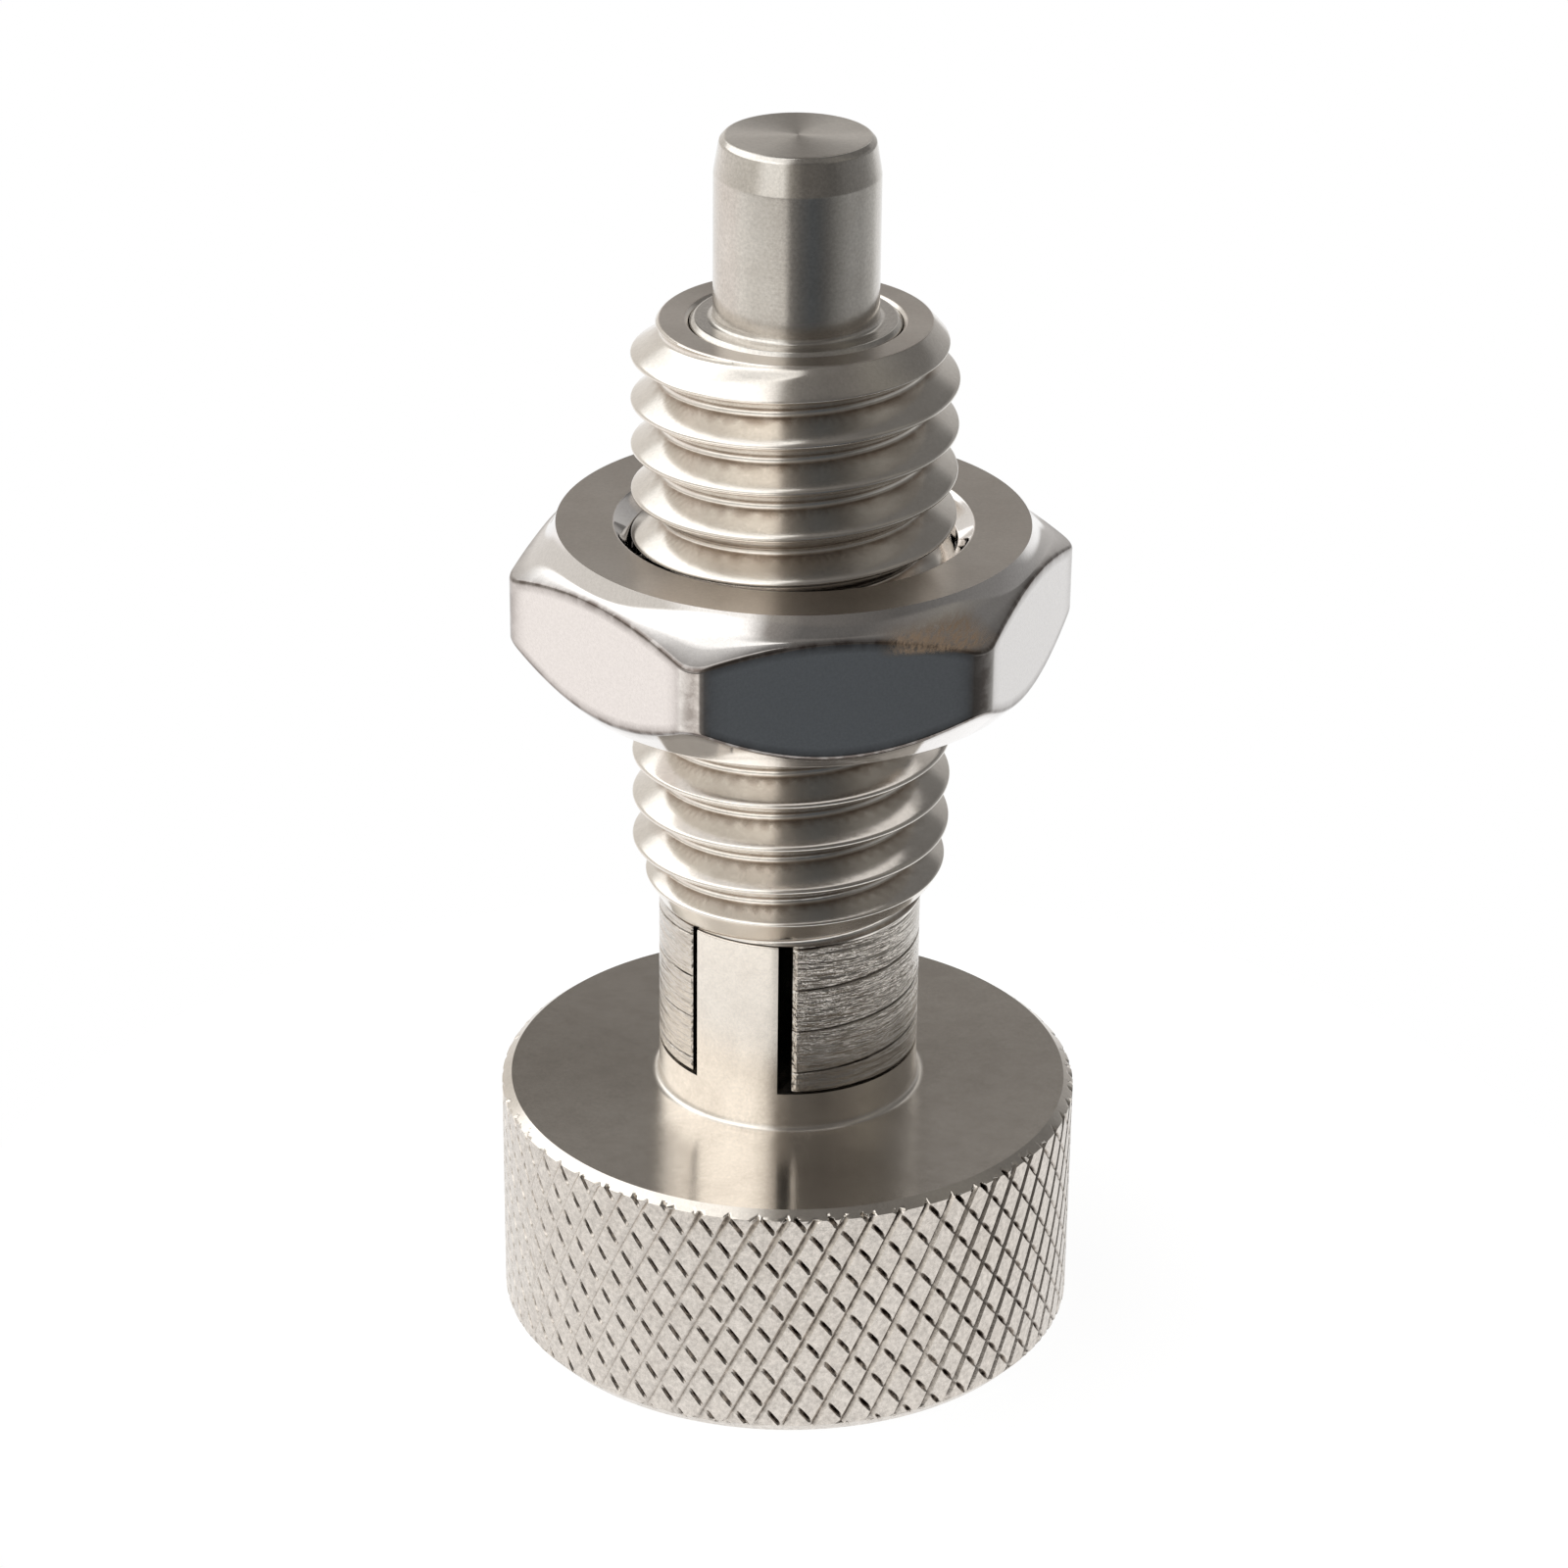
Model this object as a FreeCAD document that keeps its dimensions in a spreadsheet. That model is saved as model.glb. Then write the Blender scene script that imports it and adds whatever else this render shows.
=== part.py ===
import FreeCAD, Part
import Sketcher
import math
import os

# Indexing plunger with a lock-out knob, all stainless steel.
# It stands on the flat underside of its knob, with the pin pointing up (+Z).
# The origin is the middle of that underside. All sizes are millimetres and degrees.
# A threaded sleeve holds a spring and a stepped pin. The pin's rod passes through the tail of
# the sleeve and screws into the knob. Two tabs on the knob sit in a slot across the tail.
# Pulled clear and turned, the tabs rest on the ends of the two prongs and hold the pin back.
# The slot runs along Y, so the tabs face -Y and +Y.

SIZES = [
    # knob
    ("knob_diameter", 22.1, "over the knurl"),
    ("knob_height", 9.65, "underside to the smooth top face"),
    ("knob_top_diameter", 21.36, "flat top face, inside its chamfer"),
    ("knob_chamfer", 0.3, "height of the top chamfer"),
    ("knob_base_diameter", 21.3, "flat underside, inside its chamfer"),
    ("knob_base_chamfer", 0.45, "height of the bottom chamfer"),
    ("stem_diameter", 9.93, "collar and tabs, flush with the prongs"),
    ("collar_height", 1.58, "stem below the tabs"),
    ("stem_fillet", 0.22, "at the foot of the stem"),
    ("tang_width", 3.33, "across the flats of the two tabs"),
    ("knob_rest_turn", -1.4, "turn of the tabs from the middle of the slot"),
    ("rod_hole_depth", 9.0, "blind hole for the rod, below the collar's top"),
    # sleeve
    ("thread_diameter", 11.92, "over the crests of the M12 thread"),
    ("thread_pitch", 1.75, "coarse pitch"),
    ("thread_length", 22.88, "slot end to nose"),
    ("thread_crest_turn", 21.0, "where a crest stands at the reference height"),
    ("thread_crest_height", 10.28, "a crest's height above the slot's end, at that turn"),
    ("runout_start", 0.03, "foot of the thread's run-out cone, above the slot's end"),
    ("runout_angle", 30.0, "cone at the thread's end, from the axis"),
    ("nose_diameter", 9.86, "flat end face, inside its chamfer"),
    ("nose_chamfer", 1.15, "height of the nose chamfer"),
    ("bore_diameter", 7.74, "for the pin's shoulder and the spring"),
    ("bore_mouth", 0.13, "chamfer of the bore's mouth"),
    ("neck_diameter", 9.93, "turned-down tail with the prongs"),
    ("prong_length", 6.17, "slot depth"),
    ("slot_width", 4.02, "between the prongs"),
    ("slot_edge_break", 0.17, "width of the bevel along the slot's edges"),
    ("tail_wall", 3.0, "between the slot's end and the spring"),
    # pin
    ("pin_diameter", 6.0, "nose of the pin"),
    ("pin_reach", 6.84, "tip above the sleeve's nose, pin out"),
    ("pin_tip_diameter", 5.24, "flat tip"),
    ("pin_tip_bevel", 0.18, "height of the bright edge break"),
    ("pin_taper", 1.36, "height of the lead-in, with the edge break"),
    ("pin_taper_diameter", 5.6, "lead-in's narrow end"),
    ("shoulder_proud", 0.07, "shoulder above the sleeve's nose, pin out"),
    ("shoulder_bevel", 0.16, "edge of the shoulder"),
    ("shoulder_length", 8.0, "guided length"),
    ("pin_root_fillet", 0.2, "between the pin and its shoulder"),
    ("rod_diameter", 4.0, "pull rod"),
    ("rod_engagement", 8.6, "rod inside the knob, below the collar's top"),
    ("rod_chamfer", 0.4, "end of the rod"),
    # spring
    ("wire_diameter", 0.7, "spring wire"),
    ("spring_diameter", 7.4, "outside of the coils"),
    ("spring_turns", 6.0, "all coils, with one closed coil at each end"),
    # nut
    ("nut_flats", 18.5, "across the flats"),
    ("nut_height", 5.95, "thin nut"),
    ("nut_face_diameter", 17.44, "outer edge of the flat top ring"),
    ("nut_step_diameter", 17.9, "foot of the low step around the top ring"),
    ("nut_step_height", 0.7, "height of that step"),
    ("nut_top_angle", 30.0, "cone outside the step, from the face"),
    ("nut_base_diameter", 17.24, "flat underside, inside its chamfer"),
    ("nut_base_angle", 45.0, "bottom chamfer, from the face"),
    ("nut_corner_radius", 0.5, "rounded corners of the hexagon"),
    ("nut_sink_diameter", 13.24, "countersink at each face"),
    ("nut_drop", 7.81, "nut's top face below the sleeve's nose"),
    ("nut_turn", 3.1, "turn of the hexagon"),
    # clearances
    ("collar_gap", 0.1, "collar to the prong ends"),
    ("slot_end_gap", 0.04, "tabs to the slot's end"),
    ("shoulder_gap", 0.03, "radial, shoulder in the bore"),
    ("rod_gap", 0.1, "radial, rod in the sleeve's tail"),
    ("knob_rod_gap", 0.02, "radial, rod in the knob"),
    ("nut_gap", 0.06, "radial, nut over the thread"),
    ("spring_gap", 0.02, "coil to each seat"),
]

# Heights that several pieces share, built up from the underside of the knob.
COLLAR_TOP = "(Sizes.knob_height + Sizes.collar_height)"
TAIL = "(%s + Sizes.collar_gap)" % COLLAR_TOP
SLOT_END = "(%s + Sizes.prong_length)" % TAIL
NECK_END = "(%s + Sizes.runout_start)" % SLOT_END
NOSE = "(%s + Sizes.thread_length)" % SLOT_END
BORE_FLOOR = "(%s + Sizes.tail_wall)" % SLOT_END
TIP = "(%s + Sizes.pin_reach)" % NOSE
SHOULDER_TOP = "(%s + Sizes.shoulder_proud)" % NOSE
SHOULDER_FOOT = "(%s - Sizes.shoulder_length)" % SHOULDER_TOP
ROD_END = "(%s - Sizes.rod_engagement)" % COLLAR_TOP

# Depth of a metric thread as a share of its pitch: 17/24 of the sharp V's height.
THREAD_DEPTH = "(Sizes.thread_pitch * 17 / 24 * sqrt(3) / 2)"
# The groove's cutter stands this far out of the bar, so that it leaves no skin.
CUTTER_STANDOFF = 0.05
# A cut that clears the end of a piece runs on this far past it.
RUN_PAST = 1.0
# Facets of the spring: steps in a turn, and sides of the wire.
COIL_STEPS = 20
WIRE_SIDES = 6


def half(alias):
    """The radius that belongs to a diameter in the sheet."""
    return "Sizes.%s / 2" % alias


def make_sheet(doc):
    """The spreadsheet that holds every driving size."""
    sheet = doc.addObject("Spreadsheet::Sheet", "Sizes")
    for row, (alias, value, meaning) in enumerate(SIZES, start=1):
        sheet.set("A%d" % row, meaning)
        sheet.set("B%d" % row, str(value))
        sheet.setAlias("B%d" % row, alias)
    doc.recompute()
    return sheet


def number(obj, expression):
    """The value of an expression as a plain number."""
    value = obj.evalExpression(expression)
    return float(getattr(value, "Value", value))


def plane_of(body, role):
    """One of the body's own origin planes."""
    return next(item for item in body.Origin.OriginFeatures if item.Role == role)


def new_body(doc, label):
    """An empty body whose label names its file."""
    body = doc.addObject("PartDesign::Body", label)
    body.Label = label
    return body


def new_sketch(body, name, role):
    """A sketch on an origin plane of the body."""
    sketch = body.newObject("Sketcher::SketchObject", name)
    sketch.AttachmentSupport = [(plane_of(body, role), "")]
    sketch.MapMode = "FlatFace"
    return sketch


def tie(sketch, geometry, position, along, expression):
    """Hold one coordinate of a point: on the axis where it is 0, else at the expression."""
    if expression == 0:
        axis = -2 if along == "X" else -1
        sketch.addConstraint(Sketcher.Constraint("PointOnObject", geometry, position, axis))
        return
    value = number(sketch, expression)
    kind = "Distance" + along
    index = sketch.addConstraint(Sketcher.Constraint(kind, -1, 1, geometry, position, value))
    sketch.setExpression("Constraints[%d]" % index, expression)


def outline(sketch, corners, arcs=None):
    """Draw a closed outline through corners given as pairs of expressions.

    arcs gives the centre of the arc that starts at a corner, by the corner's number.
    """
    arcs = arcs or {}
    first = sketch.GeometryCount
    count = len(corners)
    points = [
        FreeCAD.Vector(*[0.0 if part == 0 else number(sketch, part) for part in corner], 0.0)
        for corner in corners
    ]
    ends = []
    for index in range(count):
        start, end = points[index], points[(index + 1) % count]
        if index not in arcs:
            sketch.addGeometry(Part.LineSegment(start, end))
            ends.append((1, 2))
            continue
        centre = FreeCAD.Vector(*[number(sketch, part) for part in arcs[index]], 0.0)
        from_angle = math.atan2(start.y - centre.y, start.x - centre.x)
        to_angle = math.atan2(end.y - centre.y, end.x - centre.x)
        turns_left = (to_angle - from_angle) % (2 * math.pi) < math.pi
        circle = Part.Circle(centre, FreeCAD.Vector(0, 0, 1), (start - centre).Length)
        angles = (from_angle, to_angle) if turns_left else (to_angle, from_angle)
        sketch.addGeometry(Part.ArcOfCircle(circle, *angles))
        ends.append((1, 2) if turns_left else (2, 1))
    for index in range(count):
        following = (index + 1) % count
        here, there = first + index, first + following
        sketch.addConstraint(
            Sketcher.Constraint("Coincident", here, ends[index][1], there, ends[following][0])
        )
        tie(sketch, here, ends[index][0], "X", corners[index][0])
        tie(sketch, here, ends[index][0], "Y", corners[index][1])
        if index in arcs:
            tie(sketch, here, 3, "X", arcs[index][0])


def turned(body, name, corners, arcs=None, cut=False):
    """Revolve an outline of (radius, height) pairs about Z, as material or as a cut."""
    sketch = new_sketch(body, name + "Profile", "XZ_Plane")
    outline(sketch, corners, arcs)
    feature = body.newObject("PartDesign::Groove" if cut else "PartDesign::Revolution", name)
    feature.Profile = sketch
    feature.ReferenceAxis = (sketch, ["V_Axis"])
    feature.Angle = 360
    return feature


def milled(body, name, outlines, across):
    """Cut outlines in the XZ plane straight through the piece, both ways along Y."""
    sketch = new_sketch(body, name + "Outline", "XZ_Plane")
    for corners in outlines:
        outline(sketch, corners)
    feature = body.newObject("PartDesign::Pocket", name)
    feature.Profile = sketch
    feature.Midplane = True
    feature.setExpression("Length", across)
    return feature


def rectangle(left, right, low, high):
    """Corners of an upright rectangle."""
    return [(left, low), (right, low), (right, high), (left, high)]


def turn_about_axis(body, expression):
    """Turn a finished piece about Z."""
    body.Placement = FreeCAD.Placement(
        FreeCAD.Vector(0, 0, 0), FreeCAD.Rotation(FreeCAD.Vector(0, 0, 1), 1.0)
    )
    body.setExpression("Placement.Rotation.Angle", expression)


def cut_thread(body):
    """Cut the helical V groove along the whole bar, a crest standing where the sheet says."""
    root = "(%s - %s)" % (half("thread_diameter"), THREAD_DEPTH)
    crown = "(%s + %s)" % (half("thread_diameter"), CUTTER_STANDOFF)
    half_root = "(Sizes.thread_pitch / 16)"
    half_crown = "(%s + (%s + %s) * tan(30 deg))" % (half_root, THREAD_DEPTH, CUTTER_STANDOFF)
    # a groove lies half a pitch below each crest, and the cut starts below the sleeve's tail
    crest = "(%s + Sizes.thread_crest_height - Sizes.thread_pitch * Sizes.thread_crest_turn / 360)"
    turns_below = "(ceil((Sizes.prong_length + Sizes.thread_crest_height) / Sizes.thread_pitch) + 1)"
    start = "(%s - (%s + 0.5) * Sizes.thread_pitch)" % (crest % SLOT_END, turns_below)
    sketch = new_sketch(body, "ThreadGroove", "XZ_Plane")
    outline(
        sketch,
        [
            (root, "%s - %s" % (start, half_root)),
            (crown, "%s - %s" % (start, half_crown)),
            (crown, "%s + %s" % (start, half_crown)),
            (root, "%s + %s" % (start, half_root)),
        ],
    )
    thread = body.newObject("PartDesign::SubtractiveHelix", "Thread")
    thread.Profile = sketch
    thread.ReferenceAxis = (sketch, ["V_Axis"])
    thread.Mode = "pitch-height-angle"
    thread.setExpression("Pitch", "Sizes.thread_pitch")
    thread.setExpression("Height", "%s + Sizes.thread_pitch - %s" % (NOSE, start))
    return thread


def make_sleeve(doc):
    """Threaded sleeve: turned and bored, threaded over its whole length, then slotted at the tail."""
    body = new_body(doc, "threaded_sleeve")
    crest = half("thread_diameter")
    neck = half("neck_diameter")
    bore = half("bore_diameter")
    rod_hole = "(%s + Sizes.rod_gap)" % half("rod_diameter")
    runout = "(%s - %s) / tan(Sizes.runout_angle * 1 deg)" % (crest, neck)
    turned(
        body,
        "Bar",
        [
            (rod_hole, TAIL),
            (neck, TAIL),
            (neck, NECK_END),
            (crest, "%s + %s" % (NECK_END, runout)),
            (crest, "%s - Sizes.nose_chamfer" % NOSE),
            (half("nose_diameter"), NOSE),
            ("%s + Sizes.bore_mouth" % bore, NOSE),
            (bore, "%s - Sizes.bore_mouth" % NOSE),
            (bore, BORE_FLOOR),
            (rod_hole, BORE_FLOOR),
        ],
    )
    wall = half("slot_width")
    below = "(%s - %s)" % (TAIL, RUN_PAST)
    milled(body, "Slot", [rectangle("-" + wall, wall, below, SLOT_END)], "Sizes.thread_diameter * 2")
    break_slot_edges(body, wall, neck)
    cut_thread(body)
    return body


def break_slot_edges(body, wall, neck):
    """Bevel the four long edges where the slot's walls meet the neck."""
    sketch = new_sketch(body, "SlotEdges", "XY_Plane")
    sketch.setExpression("AttachmentOffset.Base.z", SLOT_END)
    edge = "sqrt((%s)^2 - (%s)^2)" % (neck, wall)
    bevel = "Sizes.slot_edge_break"
    for side_x in ("", "-"):
        for side_y in ("", "-"):
            outline(
                sketch,
                [
                    ("%s(%s)" % (side_x, wall), "%s(%s - %s)" % (side_y, edge, bevel)),
                    ("%s(%s + %s)" % (side_x, wall, bevel), "%s(%s)" % (side_y, edge)),
                    ("%s(%s + %s)" % (side_x, wall, bevel), "%s(%s + 2 * %s)" % (side_y, edge, bevel)),
                    ("%s(%s)" % (side_x, wall), "%s(%s + 2 * %s)" % (side_y, edge, bevel)),
                ],
            )
    feature = body.newObject("PartDesign::Pocket", "SlotEdgeBevels")
    feature.Profile = sketch
    feature.setExpression("Length", "Sizes.prong_length + %s" % RUN_PAST)
    return feature


def make_pin(doc):
    """Stepped pin in one piece: nose, guided shoulder and pull rod."""
    body = new_body(doc, "plunger_pin")
    pin = half("pin_diameter")
    shoulder = "(%s - Sizes.shoulder_gap)" % half("bore_diameter")
    rod = half("rod_diameter")
    fillet = "Sizes.pin_root_fillet"
    corners = [
        (0, ROD_END),
        ("%s - Sizes.rod_chamfer" % rod, ROD_END),
        (rod, "%s + Sizes.rod_chamfer" % ROD_END),
        (rod, SHOULDER_FOOT),
        ("%s - Sizes.shoulder_bevel" % shoulder, SHOULDER_FOOT),
        (shoulder, "%s + Sizes.shoulder_bevel" % SHOULDER_FOOT),
        (shoulder, "%s - Sizes.shoulder_bevel" % SHOULDER_TOP),
        ("%s - Sizes.shoulder_bevel" % shoulder, SHOULDER_TOP),
        ("%s + %s" % (pin, fillet), SHOULDER_TOP),
        (pin, "%s + %s" % (SHOULDER_TOP, fillet)),
        (pin, "%s - Sizes.pin_taper" % TIP),
        (half("pin_taper_diameter"), "%s - Sizes.pin_tip_bevel" % TIP),
        (half("pin_tip_diameter"), TIP),
        (0, TIP),
    ]
    root = {8: ("%s + %s" % (pin, fillet), "%s + %s" % (SHOULDER_TOP, fillet))}
    turned(body, "PinTurning", corners, root)
    return body


def make_knob(doc):
    """Knob in one piece: disc, stem with a collar, and the two tabs that index in the slot."""
    body = new_body(doc, "knob")
    rim = half("knob_diameter")
    stem = half("stem_diameter")
    fillet = "Sizes.stem_fillet"
    hole = "(%s + Sizes.knob_rod_gap)" % half("rod_diameter")
    tab_top = "(%s - Sizes.slot_end_gap)" % SLOT_END
    corners = [
        (0, 0),
        (half("knob_base_diameter"), 0),
        (rim, "Sizes.knob_base_chamfer"),
        (rim, "Sizes.knob_height - Sizes.knob_chamfer"),
        (half("knob_top_diameter"), "Sizes.knob_height"),
        ("%s + %s" % (stem, fillet), "Sizes.knob_height"),
        (stem, "Sizes.knob_height + %s" % fillet),
        (stem, tab_top),
        (hole, tab_top),
        (hole, "%s - Sizes.rod_hole_depth" % COLLAR_TOP),
        (0, "%s - Sizes.rod_hole_depth" % COLLAR_TOP),
    ]
    foot = {5: ("%s + %s" % (stem, fillet), "Sizes.knob_height + %s" % fillet)}
    turned(body, "KnobTurning", corners, foot)
    flank = half("tang_width")
    outside = "(%s + %s)" % (stem, RUN_PAST)
    above = "%s + %s" % (tab_top, RUN_PAST)
    milled(
        body,
        "TangFlats",
        [
            rectangle(flank, outside, COLLAR_TOP, above),
            rectangle("-" + outside, "-" + flank, COLLAR_TOP, above),
        ],
        "Sizes.stem_diameter * 2",
    )
    turn_about_axis(body, "Sizes.knob_rest_turn")
    return body


def make_nut(doc):
    """Thin hexagon lock nut, chamfered and countersunk on both faces."""
    body = new_body(doc, "lock_nut")
    top = "(%s - Sizes.nut_drop)" % NOSE
    bottom = "(%s - Sizes.nut_height)" % top
    sketch = new_sketch(body, "HexagonOutline", "XY_Plane")
    sketch.setExpression("AttachmentOffset.Base.z", bottom)
    apothem = half("nut_flats")
    corner = "(%s / cos(30 deg))" % apothem
    outline(
        sketch,
        [
            (apothem, "-(%s) / 2" % corner),
            (apothem, "%s / 2" % corner),
            (0, corner),
            ("-(%s)" % apothem, "%s / 2" % corner),
            ("-(%s)" % apothem, "-(%s) / 2" % corner),
            (0, "-(%s)" % corner),
        ],
    )
    hexagon = body.newObject("PartDesign::Pad", "Hexagon")
    hexagon.Profile = sketch
    hexagon.setExpression("Length", "Sizes.nut_height")
    doc.recompute()
    rounding = body.newObject("PartDesign::Fillet", "RoundedCorners")
    upright = [
        "Edge%d" % (index + 1)
        for index, edge in enumerate(hexagon.Shape.Edges)
        if abs(edge.tangentAt(edge.FirstParameter).z) > 0.99
    ]
    rounding.Base = (hexagon, upright)
    rounding.setExpression("Radius", "Sizes.nut_corner_radius")
    outside = "(%s + %s)" % (corner, RUN_PAST)
    step = "(%s - Sizes.nut_step_height)" % top
    step_foot = half("nut_step_diameter")
    top_fall = "((%s - %s) * tan(Sizes.nut_top_angle * 1 deg))" % (outside, step_foot)
    turned(
        body,
        "TopChamfer",
        [
            (half("nut_face_diameter"), top),
            (step_foot, step),
            (outside, "%s - %s" % (step, top_fall)),
            (outside, top),
        ],
        cut=True,
    )
    base = half("nut_base_diameter")
    base_rise = "((%s - %s) * tan(Sizes.nut_base_angle * 1 deg))" % (outside, base)
    turned(
        body,
        "BottomChamfer",
        [(base, bottom), (outside, bottom), (outside, "%s + %s" % (bottom, base_rise))],
        cut=True,
    )
    bore = "(%s + Sizes.nut_gap)" % half("thread_diameter")
    sink = half("nut_sink_diameter")
    turned(
        body,
        "Bore",
        [
            (0, bottom),
            (sink, bottom),
            (bore, "%s + %s - %s" % (bottom, sink, bore)),
            (bore, "%s - (%s - %s)" % (top, sink, bore)),
            (sink, top),
            (0, top),
        ],
        cut=True,
    )
    turn_about_axis(body, "Sizes.nut_turn")
    return body


def coil_height(turn, turns, wire, free):
    """Height of the wire's middle along the coil: one closed turn at each end, open ones between."""
    active = turns - 2
    climb = (free - 2 * wire) / active
    closed = min(turn, 1.0) + max(turn - (turns - 1), 0.0)
    opened = min(max(turn - 1.0, 0.0), active)
    return closed * wire + opened * climb


def make_spring(doc):
    """Compression spring between the bore's floor and the shoulder, its wire drawn in facets."""
    feature = doc.addObject("Part::Feature", "spring")
    feature.Label = "spring"
    wire = number(feature, "Sizes.wire_diameter")
    middle = (number(feature, "Sizes.spring_diameter") - wire) / 2
    turns = number(feature, "Sizes.spring_turns")
    low = number(feature, "%s + Sizes.spring_gap" % BORE_FLOOR) + wire / 2
    high = number(feature, "%s - Sizes.spring_gap" % SHOULDER_FOOT) - wire / 2
    steps = int(round(turns * COIL_STEPS))
    rings = []
    for step in range(steps + 1):
        turn = turns * step / steps
        angle = 2 * math.pi * turn
        height = low + coil_height(turn, turns, wire, high - low)
        ring = []
        for side in range(WIRE_SIDES):
            round_wire = 2 * math.pi * side / WIRE_SIDES + math.pi / 2
            radius = middle + wire / 2 * math.cos(round_wire)
            lift = wire / 2 * math.sin(round_wire)
            ring.append(
                FreeCAD.Vector(radius * math.cos(angle), radius * math.sin(angle), height + lift)
            )
        rings.append(ring)
    faces = [Part.Face(Part.makePolygon(end + [end[0]])) for end in (rings[0], rings[-1])]
    for near, far in zip(rings, rings[1:]):
        for side in range(WIRE_SIDES):
            after = (side + 1) % WIRE_SIDES
            a, b, c, d = near[side], near[after], far[after], far[side]
            faces.append(Part.Face(Part.makePolygon([a, b, c, a])))
            faces.append(Part.Face(Part.makePolygon([a, c, d, a])))
    shell = Part.makeShell(faces)
    shell.sewShape()
    solid = Part.makeSolid(shell)
    if solid.Volume < 0:
        solid.reverse()
    feature.Shape = solid
    feature.Placement = FreeCAD.Placement()
    return feature


def check(doc, pieces):
    """Stop if anything in the document failed, or a piece is not one sound solid."""
    for item in doc.Objects:
        if "Invalid" in item.State or "Error" in item.State:
            raise RuntimeError("%s failed: %s" % (item.Name, item.State))
    for piece in pieces:
        shape = piece.Shape
        if shape.isNull() or not shape.isValid():
            raise RuntimeError("%s has no valid shape" % piece.Label)
        if len(shape.Solids) != 1 or shape.Volume <= 0:
            raise RuntimeError("%s is not one solid" % piece.Label)


def main():
    """Build the plunger and write each piece to its own file."""
    doc = FreeCAD.newDocument("IndexingPlunger")
    make_sheet(doc)
    pieces = [
        make_sleeve(doc),
        make_pin(doc),
        make_spring(doc),
        make_knob(doc),
        make_nut(doc),
    ]
    doc.recompute()
    check(doc, pieces)
    os.makedirs("parts", exist_ok=True)
    for piece in pieces:
        piece.Shape.exportStep(os.path.join("parts", piece.Label + ".step"))
        print("%-16s %9.2f mm3" % (piece.Label, piece.Shape.Volume))


main()
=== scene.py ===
"""Looks of an indexing plunger that stands on its knob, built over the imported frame.

The plunger is all stainless steel: a threaded sleeve, a sprung pin, a knurled pull knob, a lock
nut and a spring. Classes keep their sizes in millimetres and degrees, and meshes are made in
metres. The slot in the sleeve's tail runs along Y, and the pin points along +Z.
"""

import logging
import math
from dataclasses import dataclass, field
from enum import Enum
from typing import Any

import bmesh
import bpy
import numpy as np
from mathutils import Matrix

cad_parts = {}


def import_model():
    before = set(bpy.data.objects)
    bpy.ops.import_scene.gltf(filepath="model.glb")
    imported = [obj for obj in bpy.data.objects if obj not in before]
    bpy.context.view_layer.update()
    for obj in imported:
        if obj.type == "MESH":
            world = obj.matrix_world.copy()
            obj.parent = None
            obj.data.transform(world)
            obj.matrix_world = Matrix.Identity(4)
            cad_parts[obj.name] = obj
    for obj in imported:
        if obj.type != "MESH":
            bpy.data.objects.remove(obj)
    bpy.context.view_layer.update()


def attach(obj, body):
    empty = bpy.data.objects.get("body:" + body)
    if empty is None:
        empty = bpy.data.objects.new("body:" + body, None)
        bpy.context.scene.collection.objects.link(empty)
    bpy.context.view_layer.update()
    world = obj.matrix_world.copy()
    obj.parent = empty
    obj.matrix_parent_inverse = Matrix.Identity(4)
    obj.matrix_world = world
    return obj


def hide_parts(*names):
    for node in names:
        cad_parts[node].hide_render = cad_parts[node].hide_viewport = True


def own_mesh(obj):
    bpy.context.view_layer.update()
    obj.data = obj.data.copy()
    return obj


Array = np.ndarray
Material = bpy.types.Material
Piece = bpy.types.Object
Socket = bpy.types.NodeSocket
Tree = bpy.types.NodeTree
Band = tuple[tuple[float, float, float, float], ...]
TURN = 2.0 * math.pi
QUARTER = math.pi / 2
SIXTH = math.pi / 3
MILLIMETRE = 0.001
WELD = 1.5e-6
WHITE = (1.0, 1.0, 1.0, 1.0)
log = logging.getLogger("indexing_plunger")


class Hand(Enum):
    """The hand of a family of knurl grooves: the way its height changes along the turn."""

    FALLING = -1
    RISING = 1


# Shapes


def grid_quads(rows: int, columns: int, ring: bool = True) -> Array:
    """Quads that join the points of a grid, row by row.

    Args:
        rows: Points along the profile.
        columns: Points along the path.
        ring: Whether the last column joins the first.

    Returns:
        An array of four point numbers per quad.
    """
    row = np.arange(rows - 1)[:, None] * columns
    column = np.arange(columns if ring else columns - 1)[None, :]
    after = (column + 1) % columns
    quads = np.stack([row + column, row + after, row + columns + after, row + columns + column], -1)
    return quads.reshape(-1, 4)


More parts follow.
